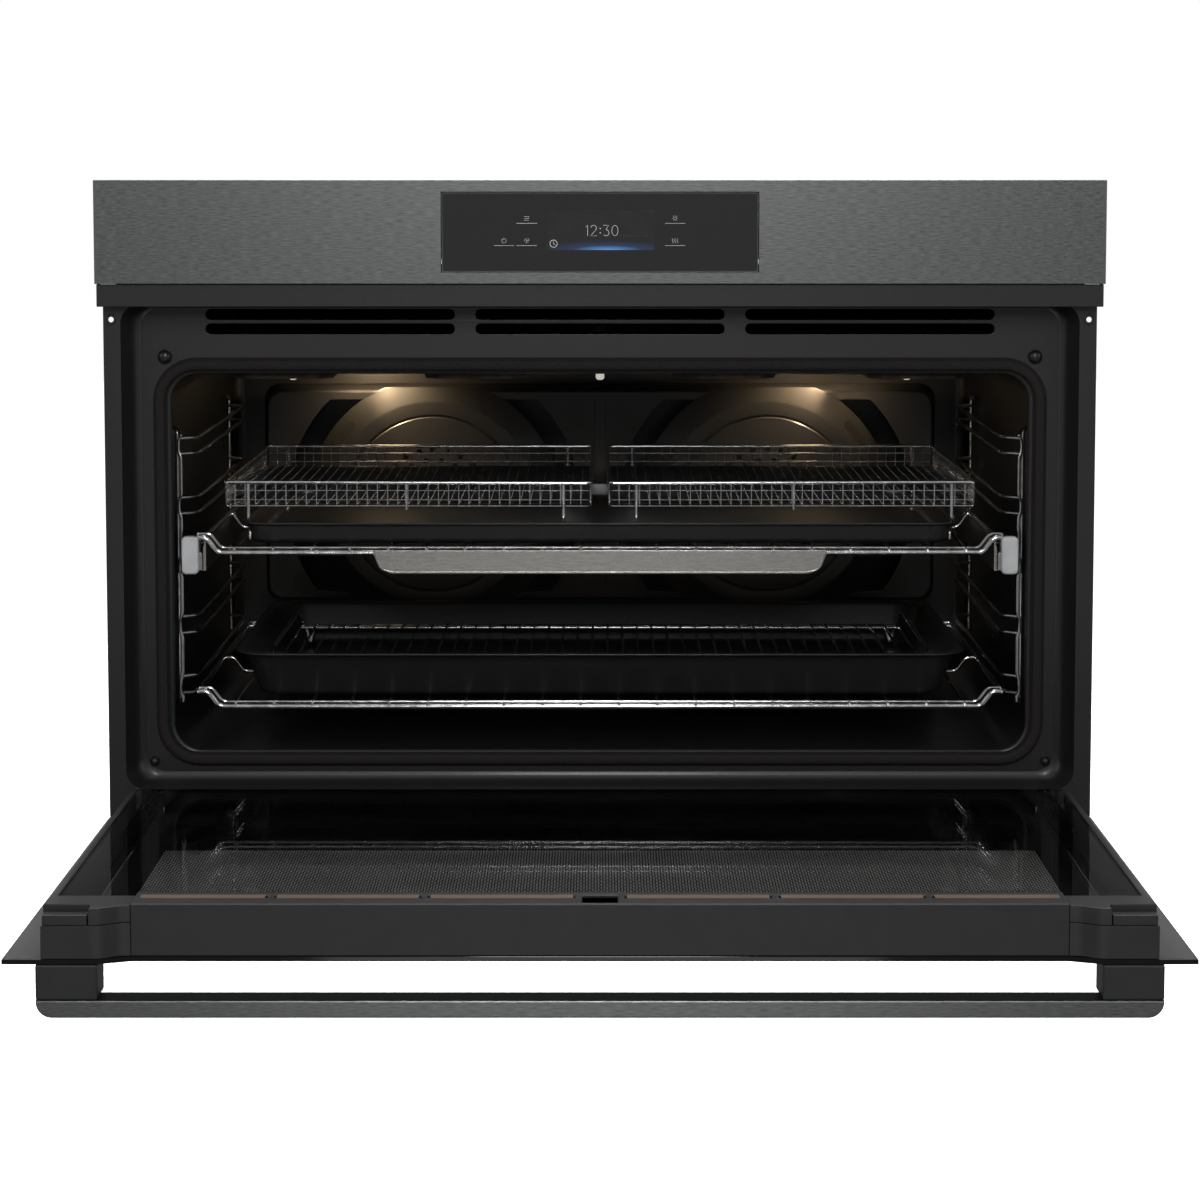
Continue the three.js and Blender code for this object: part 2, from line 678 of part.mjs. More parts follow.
const BASKET = { inner: 7, outer: 342.9, front: 60, back: 411, bottom: 301, top: 324, wall: 1.6 };
const BASKET_LEG = { x: [33, 308], y: [84, 398], radius: 1.8 };

function basket() {
  const { inner, outer, front, back, bottom, top, wall } = BASKET;
  const body = slab([inner, outer], [front, back], [bottom, top]);
  const hollow = slab(
    [inner + wall, outer - wall],
    [front + wall, back - wall],
    [bottom + wall, top + 1],
  );
  const legs = [];
  const floor = SHALLOW_TRAY.bottom + TRAY_SHEET + GAP;
  for (const x of BASKET_LEG.x) {
    for (const y of BASKET_LEG.y) {
      legs.push(wire([[x, y, floor], [x, y, bottom + 1]], BASKET_LEG.radius));
    }
  }
  return join(cut(body, hollow), ...legs);
}

const TRIVET = { half: 300, front: 98, back: 354, z: 145, pitch: 29, heavy: 2, light: 1.3 };
const TRIVET_LEG = 8; // in from the ends
const TRIVET_PAIR = 12; // between the two rear wires
const TRIVET_HANDLE = { inset: 1, out: 4, bend: 14, rise: 18 };

function trivet() {
  const { half, front, back, z, pitch, heavy, light } = TRIVET;
  const floor = DEEP_TRAY.bottom + TRAY_SHEET + GAP;
  const pieces = [];
  for (const y of [front, back - TRIVET_PAIR, back]) {
    pieces.push(wire([[-half, y, z], [half, y, z]], heavy, 4));
  }
  for (const x of [-half + TRIVET_LEG, half - TRIVET_LEG]) {
    for (const y of [front, back - TRIVET_PAIR]) {
      pieces.push(wire([[x, y, floor], [x, y, z + 1]], heavy, 4));
    }
  }
  const count = Math.floor((2 * half) / pitch);
  const lift = z + 1.9;
  for (let i = 0; i <= count; i += 1) {
    const x = (i - count / 2) * pitch;
    pieces.push(wire([[x, front - heavy, lift], [x, back + heavy, lift]], light, 4));
  }
  const { inset, out, bend, rise } = TRIVET_HANDLE;
  for (const side of [-1, 1]) {
    const low = side * (half - inset);
    const high = side * (half + out);
    const path = [
      [low, front, z], [high, front + bend, z + rise], [high, back - bend, z + rise], [low, back, z],
    ];
    pieces.push(wire(path, heavy, 4));
  }
  return join(...pieces);
}

// ---- casing and services ----
function casingWrap() {
  const { half, top, front, base, fasciaSide, back } = CASING;
  const rear = back - SHEET - GAP;
  const foot = SHEET + GAP;
  const side = polygon([
    [base, foot], [rear, foot], [rear, top], [fasciaSide, top], [fasciaSide, FLANGE.top + GAP],
    [front, FLANGE.top + GAP], [front, FLANGE.bottom + 2], [base, FLANGE.bottom + 2],
  ]);
  const inside = slab([-half + SHEET, half - SHEET], [0, back + 1], [-1, top - SHEET]);
  return cut(prismX(side, [-half, half]), inside);
}

function casingBase() {
  const { half, base, back } = CASING;
  const plate = slab([-half, half], [base, back - SHEET - GAP], [0, SHEET]);
  const upstand = slab(
    [-half + SHEET + GAP, half - SHEET - GAP],
    [base, base + SHEET],
    [0, FLANGE.bottom],
  );
  return join(plate, upstand);
}

const GLAND = { x: -370, z: 555, radius: 11, proud: 3, wall: 4 };
const LOUVRE = { half: 180, first: 470, pitch: 18, height: 6, count: 5 };

function casingRear() {
  const { half, top, back } = CASING;
  const plate = slab([-half, half], [back - SHEET, back], [0, top]);
  const louvres = [];
  const through = [back - 5, back + 5];
  for (let i = 0; i < LOUVRE.count; i += 1) {
    const z = LOUVRE.first + i * LOUVRE.pitch;
    louvres.push(slab([-LOUVRE.half, LOUVRE.half], through, [z, z + LOUVRE.height]));
  }
  return cut(plate, ...louvres, discY([GLAND.x, GLAND.z], through, GLAND.radius, 16));
}

const DUCT = { half: 365, front: 52, back: 300, bottom: 452, top: 488 };
const BLOWER = { half: 110, back: 384, top: 528, y: 342, z: 492, radius: 26, shaft: 4 };
const BLOWER_MOTOR = { radius: 22, length: 34, seat: 20 };

function coolingDuct() {
  const { half, front, back, bottom, top } = DUCT;
  const channel = slab([-half, half], [front, back], [bottom, top]);
  const channelInside = slab(
    [-half + SHEET, half - SHEET],
    [front - 1, back - SHEET],
    [bottom + SHEET, top - SHEET],
  );
  const housing = slab(
    [-BLOWER.half, BLOWER.half],
    [back - SHEET, BLOWER.back],
    [bottom, BLOWER.top],
  );
  const housingInside = slab(
    [-BLOWER.half + SHEET, BLOWER.half - SHEET],
    [back - SHEET - 1, BLOWER.back - SHEET],
    [bottom + SHEET, BLOWER.top + 1],
  );
  const axis = [BLOWER.y, BLOWER.z];
  const { radius, length, seat } = BLOWER_MOTOR;
  const motor = discX(axis, [BLOWER.half - 0.5, BLOWER.half + length], radius);
  const bore = discX(axis, [-BLOWER.half - 5, BLOWER.half + seat], BLOWER.shaft + 0.4, 8);
  const solid = join(channel, housing, motor);
  const throat = slab(
    [-BLOWER.half + SHEET, BLOWER.half - SHEET],
    [back - 5, back + 5],
    [bottom + SHEET, top - SHEET],
  );
  return cut(solid, channelInside, housingInside, throat, bore);
}

const IMPELLER = { discs: [-98, 0, 96], disc: 2, blades: 8, bladeHalf: 97, bladeDepth: 8, bladeSheet: 0.6 };

function blowerImpeller() {
  const { discs, disc, blades, bladeHalf, bladeDepth, bladeSheet } = IMPELLER;
  const centre = [BLOWER.y, BLOWER.z];
  const ends = [-BLOWER.half - 4, BLOWER.half + BLOWER_MOTOR.seat - 2];
  const pieces = [discX(centre, ends, BLOWER.shaft, 8)];
  for (const x of discs) {
    pieces.push(discX(centre, [x, x + disc], BLOWER.radius, 16));
  }
  for (let i = 0; i < blades; i += 1) {
    const blade = slab(
      [-bladeHalf, bladeHalf],
      [-bladeSheet, bladeSheet],
      [BLOWER.radius - bladeDepth, BLOWER.radius - 0.8],
    );
    blade.rotateX((i / blades) * Math.PI * 2);
    pieces.push(blade.translate(0, BLOWER.y, BLOWER.z));
  }
  return join(...pieces);
}

const BOARD = { x: [150, 370], y: [70, 210], z: [536, 537.6], studInset: 8, stud: 3 };
// Each block of parts on the board: its span in X, its span in Y and its top.
const BOARD_PARTS = [
  { x: [165, 205], y: [90, 130], top: 562 },
  { x: [225, 265], y: [90, 112], top: 552 },
  { x: [280, 350], y: [85, 125], top: 558 },
  { x: [170, 350], y: [165, 195], top: 549 },
];

function controlBoard() {
  const parts = BOARD_PARTS.map(({ x, y, top }) => slab(x, y, [BOARD.z[0] + 1, top]));
  const studs = [];
  for (const x of [BOARD.x[0] + BOARD.studInset, BOARD.x[1] - BOARD.studInset]) {
    for (const y of [BOARD.y[0] + BOARD.studInset, BOARD.y[1] - BOARD.studInset]) {
      studs.push(discZ([x, y], [DUCT.top + GAP, BOARD.z[0] + 0.5], BOARD.stud, 8));
    }
  }
  return join(slab(BOARD.x, BOARD.y, BOARD.z), ...parts, ...studs);
}

const TERMINAL = { half: 35, rise: 18, depth: 30, bore: 20 };

function terminalBlock() {
  const { x, z, radius, proud, wall } = GLAND;
  const { half, rise, depth, bore } = TERMINAL;
  const back = CASING.back - SHEET - GAP;
  const body = slab([x - half, x + half], [back - depth, back], [z - rise, z + rise]);
  const gland = discY([x, z], [back - 1, CASING.back + proud], radius - GAP, 16);
  const passage = discY([x, z], [back - bore, CASING.back + proud + 1], radius - wall, 12);
  return cut(join(body, gland), passage);
}

const LATCH = { z: [461.5, 467], tip: 52.5, back: 110, noseHalf: 5, crossHalf: 20, crossFront: 96 };

function latchBolt() {
  const { z, tip, back, noseHalf, crossHalf, crossFront } = LATCH;
  const nose = slab([-noseHalf, noseHalf], [tip, back], z);
  const crosspiece = slab([-crossHalf, crossHalf], [crossFront, back], z);
  return join(nose, crosspiece);
}

// ---- door, drawn closed ----
function outerGlass() {
  const { half, bottom, top } = DOOR;
  const { half: low, shoulder, depth } = DOOR_RECESS;
  const outline = polygon([
    [-half, bottom], [half, bottom], [half, top], [shoulder, top], [low, top - depth],
    [-low, top - depth], [-shoulder, top], [-half, top],
  ]);
  return prismY(outline, [0, GLASS]);
}

const MIDDLE_GLASS = { half: 388, front: 24, bottom: 58, top: 452 };

function middleGlass() {
  const { half, front, bottom, top } = MIDDLE_GLASS;
  return slab([-half, half], [front, front + GLASS], [bottom, top]);
}

const INNER_GLASS = { half: 413, bottom: 56, top: 444 };

function innerGlass() {
  const { half, bottom, top } = INNER_GLASS;
  return slab([-half, half], [DOOR.face - GLASS, DOOR.face], [bottom, top]);
}

const CAP = { bottom: 438, skin: 2, back: GLASS + GAP, top: DOOR.top - DOOR_RECESS.depth };
const CAP_VENT = { bottom: 447.3, top: 456, edges: [16, 132.6, 248.9, 340], rib: 2.5 };
const LATCH_HOLE = { half: 13.5, top: 470 };

function capVents() {
  const { bottom, top, edges, rib } = CAP_VENT;
  const through = [DOOR.face, DOOR.cap + 1];
  const vents = [slab([-LATCH_HOLE.half, LATCH_HOLE.half], through, [bottom, LATCH_HOLE.top])];
  for (let i = 0; i < edges.length - 1; i += 1) {
    const vent = slab([edges[i] + rib, edges[i + 1] - rib], through, [bottom, top]);
    vents.push(vent, mirroredX(vent));
  }
  return vents;
}

function capProfile(face) {
  const { bottom, skin, back } = CAP;
  const inner = DOOR.face + GAP;
  return polygon([
    [back, bottom], [back + skin, bottom], [back + skin, CAP.top - skin],
    [inner, CAP.top - skin], [inner, bottom], [face, bottom], [face, CAP.top], [back, CAP.top],
  ]);
}

function doorTopCap() {
  return cut(prismX(capProfile(DOOR.cap), [-DOOR_RECESS.half, DOOR_RECESS.half]), ...capVents());
}

// The end piece of the cap is open towards the middle and below, where the middle pane runs into it.
const CAP_END = {
  bottom: INNER_GLASS.top + GAP, face: DOOR.cap - 1, hollow: 29, notchX: 382, notchZ: 470,
};

function doorCapEnd() {
  const start = DOOR_RECESS.half + GAP;
  const end = DOOR.inner;
  const { shoulder } = DOOR_RECESS;
  const { bottom, face, hollow, notchX, notchZ } = CAP_END;
  const body = polygon([
    [start, bottom], [end, bottom], [end, DOOR.top], [shoulder, DOOR.top], [start, CAP.top],
  ]);
  const inside = polygon([
    [start - 1, bottom - 1], [end - CAP.skin, bottom - 1], [end - CAP.skin, DOOR.top - CAP.skin],
    [shoulder, DOOR.top - CAP.skin], [start, CAP.top - CAP.skin], [start - 1, CAP.top - CAP.skin],
  ]);
  const notch = slab([notchX, end + 1], [hollow + CAP.skin, face + 1], [notchZ, DOOR.top + 1]);
  return cut(prismY(body, [CAP.back, face]), prismY(inside, [CAP.back + CAP.skin, hollow]), notch);
}

const SIDE_PROFILE = { bottom: 34, step: 60, web: 21 };

function doorSideProfile() {
  const { bottom, step, web } = SIDE_PROFILE;
  const { back } = CAP;
  const { top } = INNER_GLASS;
  const face = DOOR.face - 0.5;
  const outline = polygon([
    [back, bottom], [web, bottom], [web, step], [face, step], [face, top], [back, top],
  ]);
  return prismX(outline, [INNER_GLASS.half + GAP, DOOR.inner]);
}

const BOTTOM_RAIL = { half: 389, bottom: 33, step: 52.5, top: 55.6, web: 21 };

function doorBottomRail() {
  const { half, bottom, step, top, web } = BOTTOM_RAIL;
  const { back } = CAP;
  const face = DOOR.face - 1;
  const outline = polygon([
    [back, bottom], [web, bottom], [web, step], [face, step], [face, top], [back, top],
  ]);
  return prismX(outline, [-half, half]);
}

function handleBar() {
  const { half, bottom, top, back, front, corner } = HANDLE;
  const shape = new THREE.Shape();
  shape.moveTo(-half, back);
  shape.absarc(-half + corner, front + corner, corner, Math.PI, Math.PI * 1.5);
  shape.absarc(half - corner, front + corner, corner, Math.PI * 1.5, Math.PI * 2);
  shape.lineTo(half, back);
  return prismZ(shape, [bottom, top], 3);
}

function handlePost() {
  return slab([POST.inner, HANDLE.half], [HANDLE.back + GAP, -GAP], [POST.bottom, DOOR.top]);
}

const HINGE_ARM = {
  half: 3.5, eye: 9, back: 98, bottom: 25, top: 37.5, notchY: [70, 76], notchZ: [20, 30],
};
const CASSETTE = { inner: 5, outer: 8, reach: 7, top: 150, web: 2, webStart: 15 };

function hingeArm() {
  const { x, y, z, pin } = HINGE;
  const { half, eye, back, bottom, top, notchY, notchZ } = HINGE_ARM;
  const span = [x - half, x + half];
  const across = [x - CASSETTE.inner, x + CASSETTE.inner];
  const blade = slab(span, [y, back], [bottom, top]);
  const notch = slab(across, notchY, notchZ);
  return cut(join(discX([y, z], span, eye), blade), notch, discX([y, z], across, pin + 0.4));
}

function hingeCassette() {
  const { x, y, z, pin } = HINGE;
  const { inner, outer, reach, top, web, webStart } = CASSETTE;
  const cheeks = [[x - outer, x - inner], [x + inner, x + outer]].map((span) => (
    join(discX([y, z], span, reach), slab(span, [y - reach, y + reach], [z, top]))
  ));
  const across = [x - outer, x + outer];
  const backWeb = slab(across, [y - reach, y - reach + web], [z + webStart, top]);
  return join(...cheeks, backWeb, discX([y, z], across, pin, 12));
}

// ---- assembly ----
add("control_fascia", controlFascia(), darkSteel());
add("display_glass", displayGlass(), blackGlass());
add("lower_trim", lowerTrim(), enamel());
add("front_frame", frontFrame(), enamel());
add("door_gasket", doorGasket(), braid());
addPair("upper_bumper", bumper(UPPER_BUMPER), rubber);
addPair("lower_bumper", bumper(LOWER_BUMPER), rubber);

add("cavity_liner", cavityLiner(), enamel());
add("insulation", insulation(), mineralWool());
add("fan_cover", fanCover(), enamel());
for (const [name, side] of FAN_SIDES) {
  add(`convection_fan_${name}`, convectionFan(side), galvanised());
  add(`fan_motor_${name}`, fanMotor(side), galvanised());
  add(`ring_element_${name}`, ringElement(side), heater());
  add(`oven_lamp_${name}`, ovenLamp(side), lampGlass());
}
add("grill_element", foldedHeater(GRILL), heater());
add("bottom_element", foldedHeater(BOTTOM_HEAT), heater());

addPair("side_rack", sideRack(), chrome);
addPair("runner_rail", runnerRail(), stainless);
addPair("runner_slide", runnerSlide(), palePlastic);
add("upper_shelf", wireShelf(UPPER_SHELF), chrome());
add("shelf_plate", shelfPlate(), stainless());
add("shallow_tray", pressedTray(SHALLOW_TRAY), enamel());
addPair("basket", basket(), chrome);
add("lower_shelf", wireShelf(LOWER_SHELF), chrome());
add("deep_tray", pressedTray(DEEP_TRAY), enamel());
add("trivet", trivet(), chrome());

add("casing_wrap", casingWrap(), galvanised());
add("casing_base", casingBase(), galvanised());
add("casing_rear", casingRear(), galvanised());
add("cooling_duct", coolingDuct(), galvanised());
add("blower_impeller", blowerImpeller(), galvanised());
add("control_board", controlBoard(), circuit());
add("terminal_block", terminalBlock(), blackPlastic());
add("latch_bolt", latchBolt(), darkSteel());
addPair("hinge_arm", hingeArm(), galvanised);

add("outer_glass", outerGlass(), blackGlass(), door);
add("middle_glass", middleGlass(), blackGlass(), door);
add("inner_glass", innerGlass(), blackGlass(), door);
add("door_top_cap", doorTopCap(), blackPlastic(), door);
addPair("door_cap_end", doorCapEnd(), blackPlastic, door);
addPair("door_side_profile", doorSideProfile(), blackPlastic, door);
add("door_bottom_rail", doorBottomRail(), galvanised(), door);
add("handle_bar", handleBar(), darkSteel(), door);
addPair("handle_post", handlePost(), blackPlastic, door);
addPair("hinge_cassette", hingeCassette(), galvanised, door);

export default oven;
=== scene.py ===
"""Built-in wall oven with its door open: the looks, the floor, the light and the camera."""
import math

import bmesh
import bpy
from mathutils import Matrix, Vector
from mathutils.geometry import tessellate_polygon

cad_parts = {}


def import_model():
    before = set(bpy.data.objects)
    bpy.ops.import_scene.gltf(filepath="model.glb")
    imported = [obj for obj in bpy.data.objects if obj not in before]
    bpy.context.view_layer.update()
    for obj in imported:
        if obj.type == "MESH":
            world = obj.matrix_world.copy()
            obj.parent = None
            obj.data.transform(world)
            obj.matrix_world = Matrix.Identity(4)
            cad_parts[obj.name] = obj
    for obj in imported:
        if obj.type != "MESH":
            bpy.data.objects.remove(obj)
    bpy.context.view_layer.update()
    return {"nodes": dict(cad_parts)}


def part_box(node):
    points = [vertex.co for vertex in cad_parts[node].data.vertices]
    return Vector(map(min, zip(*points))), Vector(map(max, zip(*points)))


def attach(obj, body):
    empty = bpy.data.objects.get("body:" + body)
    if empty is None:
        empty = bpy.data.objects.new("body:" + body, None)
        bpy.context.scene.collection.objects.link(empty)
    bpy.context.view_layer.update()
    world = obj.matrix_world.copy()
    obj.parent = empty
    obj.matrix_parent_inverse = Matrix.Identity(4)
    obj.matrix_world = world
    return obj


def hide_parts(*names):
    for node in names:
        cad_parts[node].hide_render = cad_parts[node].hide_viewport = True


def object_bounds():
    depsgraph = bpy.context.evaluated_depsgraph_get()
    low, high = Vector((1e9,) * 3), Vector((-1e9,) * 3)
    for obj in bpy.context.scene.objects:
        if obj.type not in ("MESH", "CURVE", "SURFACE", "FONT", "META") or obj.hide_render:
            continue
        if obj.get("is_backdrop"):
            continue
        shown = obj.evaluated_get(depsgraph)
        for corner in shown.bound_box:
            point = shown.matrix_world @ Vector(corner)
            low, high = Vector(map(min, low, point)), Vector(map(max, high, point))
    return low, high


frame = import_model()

# Shapes are drawn in millimetres: X across, Y into the cabinet from the fascia's front, Z up.
MM = 0.001
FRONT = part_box("control_fascia")[0].y
OVEN = Matrix.Translation((0, FRONT, 0)) @ Matrix.Scale(MM, 4)
# The door is drawn closed. This turns it about its hinge until it lies open.
DOOR = (
    Matrix.Translation((0, FRONT + 43 * MM, 15 * MM))
    @ Matrix.Rotation(math.pi / 2, 4, "X")
    @ Matrix.Scale(MM, 4)
)


def cad(node, place=OVEN):
    """Low and high corner of a CAD node, in drawing millimetres."""
    back = place.inverted()
    ends = [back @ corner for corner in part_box(node)]
    return Vector(map(min, *ends)), Vector(map(max, *ends))


# ---- materials ----
def grey(level):
    return (level, level, level)


def shader_input(mat, socket):
    return mat.node_tree.nodes["Principled BSDF"].inputs[socket]


def feed(mat, socket, source):
    """Gives a socket a value, or links it to another node's output."""
    if isinstance(source, bpy.types.NodeSocket):
        mat.node_tree.links.new(source, socket)
    else:
        socket.default_value = source


def finish(name, color, roughness, metallic=0.0, **sockets):
    """A Principled material, with further sockets given by name."""
    mat = bpy.data.materials.new(name)
    mat.use_nodes = True
    values = {"Base_Color": (*color, 1), "Roughness": roughness, "Metallic": metallic, **sockets}
    for socket, value in values.items():
        shader_input(mat, socket.replace("_", " ")).default_value = value
    return mat


def driven(mat, socket, source):
    feed(mat, shader_input(mat, socket), source)
    return mat


def add_node(mat, kind, sources, **settings):
    """A new shader node with its settings, and the source of each of its sockets."""
    made = mat.node_tree.nodes.new("ShaderNode" + kind)
    for setting, value in settings.items():
        setattr(made, setting, value)
    for socket, source in sources.items():
        feed(mat, made.inputs[socket], source)
    return made


def object_place(mat):
    return add_node(mat, "TexCoord", {}).outputs["Object"]


def noise(mat, scale, detail=3.0):
    """A noise texture's height. Its scale is per metre, one number or one for each axis."""
    stretch = scale if isinstance(scale, tuple) else (scale, scale, scale)
    place = add_node(mat, "Mapping", {"Vector": object_place(mat), "Scale": stretch})
    texture = add_node(mat, "TexNoise", {"Vector": place.outputs["Vector"], "Scale": 1.0, "Detail": detail})
    return texture.outputs["Fac"]


def ranged(mat, source, low, high, start=0.3, end=0.7):
    """Maps a texture's start to end onto low to high."""
    sources = {"Value": source, "From Min": start, "From Max": end, "To Min": low, "To Max": high}
    return add_node(mat, "MapRange", sources).outputs["Result"]


def ramp(mat, source, stops):
    """A colour ramp through two or three (place, colour) stops."""
    made = add_node(mat, "ValToRGB", {"Fac": source})
    elements = made.color_ramp.elements
    if len(stops) == 3:
        elements.new(0.5)
    for element, (place, color) in zip(elements, stops):
        element.position = place
        element.color = (*color, 1)
    return made.outputs["Color"]


def tinted(mat, source, dark, light, start=0.3, end=0.7):
    """Drives the base colour from dark to light by a texture."""
    return driven(mat, "Base Color", ramp(mat, source, ((start, dark), (end, light))))


def roughened(mat, source, low, high):
    return driven(mat, "Roughness", ranged(mat, source, low, high))


def bumped(mat, source, height, strength):
    """Raises the surface by height metres where the texture is high."""
    bump = add_node(mat, "Bump", {"Strength": strength, "Distance": height, "Height": source})
    return driven(mat, "Normal", bump.outputs["Normal"])


def brushed(name, dark, light, roughness):
    """Steel brushed along X: fine scratches over broader streaks."""
    mat = finish(name, light, roughness, 1.0)
    scratches = noise(mat, (220, 2200, 2200), 2.0)
    tinted(mat, noise(mat, (110, 1100, 1100)), dark, light, 0.32, 0.68)
    roughened(mat, scratches, roughness - 0.07, roughness + 0.09)
    return bumped(mat, scratches, 0.00004, 0.35)


def enamel(name, color, roughness, coat):
    """Fired enamel: fine specks under a thin coat, with a slight orange-peel surface."""
    mat = finish(name, color, roughness, Coat_Weight=coat, Coat_Roughness=0.12, Specular_IOR_Level=0.5)
    specks = noise(mat, 900, 4.0)
    tinted(mat, specks, [c * 0.75 for c in color], [c * 1.3 for c in color], 0.35, 0.65)
    return bumped(mat, noise(mat, 260, 2.0), 0.00008, 0.25)


def flecked(mat, color):
    """Faint lighter and darker patches over a plain colour."""
    return tinted(mat, noise(mat, 60), [c * 0.9 for c in color], [c * 1.1 for c in color])


def plastic(name, color, roughness, specular=0.5):
    """Moulded plastic with a fine spark-eroded grain."""
    mat = finish(name, color, roughness, Specular_IOR_Level=specular)
    grain = noise(mat, 1500)
    return bumped(flecked(mat, color), grain, 0.00006, 0.4)


def glowing(name, color, strength):
    mat = finish(name, color, 0.4, Emission_Strength=strength, Emission_Color=(*color, 1))
    return flecked(mat, color)


def galvanised_sheet():
    """Zinc spangle, as faintly different cells."""
    mat = finish("galvanised", (0.42, 0.44, 0.45), 0.42, 0.85)
    cells = add_node(mat, "TexVoronoi", {"Vector": object_place(mat), "Scale": 140}).outputs["Color"]
    tinted(mat, cells, (0.49, 0.505, 0.515), (0.56, 0.575, 0.585), 0.2, 0.8)
    return roughened(mat, cells, 0.43, 0.49)


def dotted_print():
    """Staggered grey dots printed on black, seen through the inner panes."""
    pitch = 2.4 * MM
    mat = finish("dotted_print", grey(0.02), 0.8, Specular_IOR_Level=0.0)
    along = add_node(mat, "SeparateXYZ", {"Vector": object_place(mat)}).outputs
    waves = []
    for axis in ("X", "Y"):
        turn = add_node(mat, "Math", {0: along[axis], 1: math.pi / pitch}, operation="MULTIPLY")
        waves.append(add_node(mat, "Math", {0: turn.outputs[0]}, operation="SINE").outputs[0])
    both = add_node(mat, "Math", {0: waves[0], 1: waves[1]}, operation="MULTIPLY")
    return tinted(mat, both.outputs[0], grey(0.006), grey(0.42), 0.25, 0.5)


def chromed():
    mat = finish("chrome_wire", (0.72, 0.72, 0.73), 0.16, 1.0)
    haze = noise(mat, 120, 4.0)
    tinted(mat, haze, (0.62, 0.61, 0.60), (0.78, 0.78, 0.79))
    return roughened(mat, haze, 0.12, 0.22)


def heater_sheath():
    mat = finish("heater_tube", (0.1, 0.09, 0.08), 0.5, 0.7)
    tinted(mat, noise(mat, 40, 5.0), (0.05, 0.045, 0.04), (0.17, 0.14, 0.12))
    return bumped(mat, noise(mat, 900), 0.00006, 0.4)


def mineral_blanket():
    mat = finish("mineral_wool", (0.5, 0.42, 0.25), 0.95)
    fibre = noise(mat, (300, 900, 900), 6.0)
    tinted(mat, fibre, (0.36, 0.29, 0.16), (0.62, 0.54, 0.36))
    return bumped(mat, fibre, 0.0006, 0.8)


def braided_fibre():
    mat = finish("gasket_braid", (0.02, 0.017, 0.015), 0.9)
    strand = noise(mat, 1200, 4.0)
    tinted(mat, strand, (0.006, 0.0045, 0.0045), (0.022, 0.0165, 0.016))
    return bumped(mat, strand, 0.0002, 0.6)


def printed_circuit():
    mat = finish("circuit", (0.02, 0.09, 0.05), 0.45, Coat_Weight=0.4)
    tracks = noise(mat, (400, 60, 400), 2.0)
    return tinted(mat, tracks, (0.012, 0.06, 0.03), (0.03, 0.14, 0.07), 0.45, 0.55)


def clear_pane():
    """Clear door glass with a faint film that breaks up its reflection."""
    mat = finish("clear_glass", grey(0.97), 0.02, Transmission_Weight=1.0, IOR=1.055)
    return roughened(mat, noise(mat, 18, 5.0), 0.0, 0.004)


def black_glazing(name, color):
    mat = finish(name, color, 0.06, Specular_IOR_Level=0.3, IOR=1.5)
    return roughened(mat, noise(mat, 20, 5.0), 0.04, 0.1)


def blue_glow():
    """A glow along the bottom of the screen, strongest in the middle and fading upwards."""
    middle = (0.0067, 0, 0.5362)
    reach = (0.062, 1, 0.0085)
    mat = finish("screen_blue_glow", SCREEN_COLOR, 0.1, Emission_Strength=1.0, Specular_IOR_Level=0.3)
    sources = {"Vector": object_place(mat), "Location": middle, "Scale": reach}
    around = add_node(mat, "Mapping", sources, vector_type="TEXTURE")
    flat = add_node(mat, "VectorMath", {0: around.outputs["Vector"], 1: (1, 0, 1)}, operation="MULTIPLY")
    ball = add_node(mat, "TexGradient", {"Vector": flat.outputs["Vector"]}, gradient_type="SPHERICAL")
    stops = ((0, grey(0)), (0.5, (0.006, 0.022, 0.075)), (1, (0.10, 0.27, 0.62)))
    return driven(mat, "Emission Color", ramp(mat, ball.outputs["Fac"], stops))


def lit_lens():
    """Glass that glows below the cavity's ceiling only, where the bulb is."""
    strength, lens_depth, fade = 6.0, 12 * MM, 1 * MM
    mat = glowing("lamp_glass", (1.0, 0.72, 0.40), strength)
    height = add_node(mat, "SeparateXYZ", {"Vector": object_place(mat)}).outputs["Z"]
    ceiling = cad("oven_lamp_left")[0].z * MM + lens_depth
    return driven(mat, "Emission Strength", ranged(mat, height, strength, 0.0, ceiling - fade, ceiling))


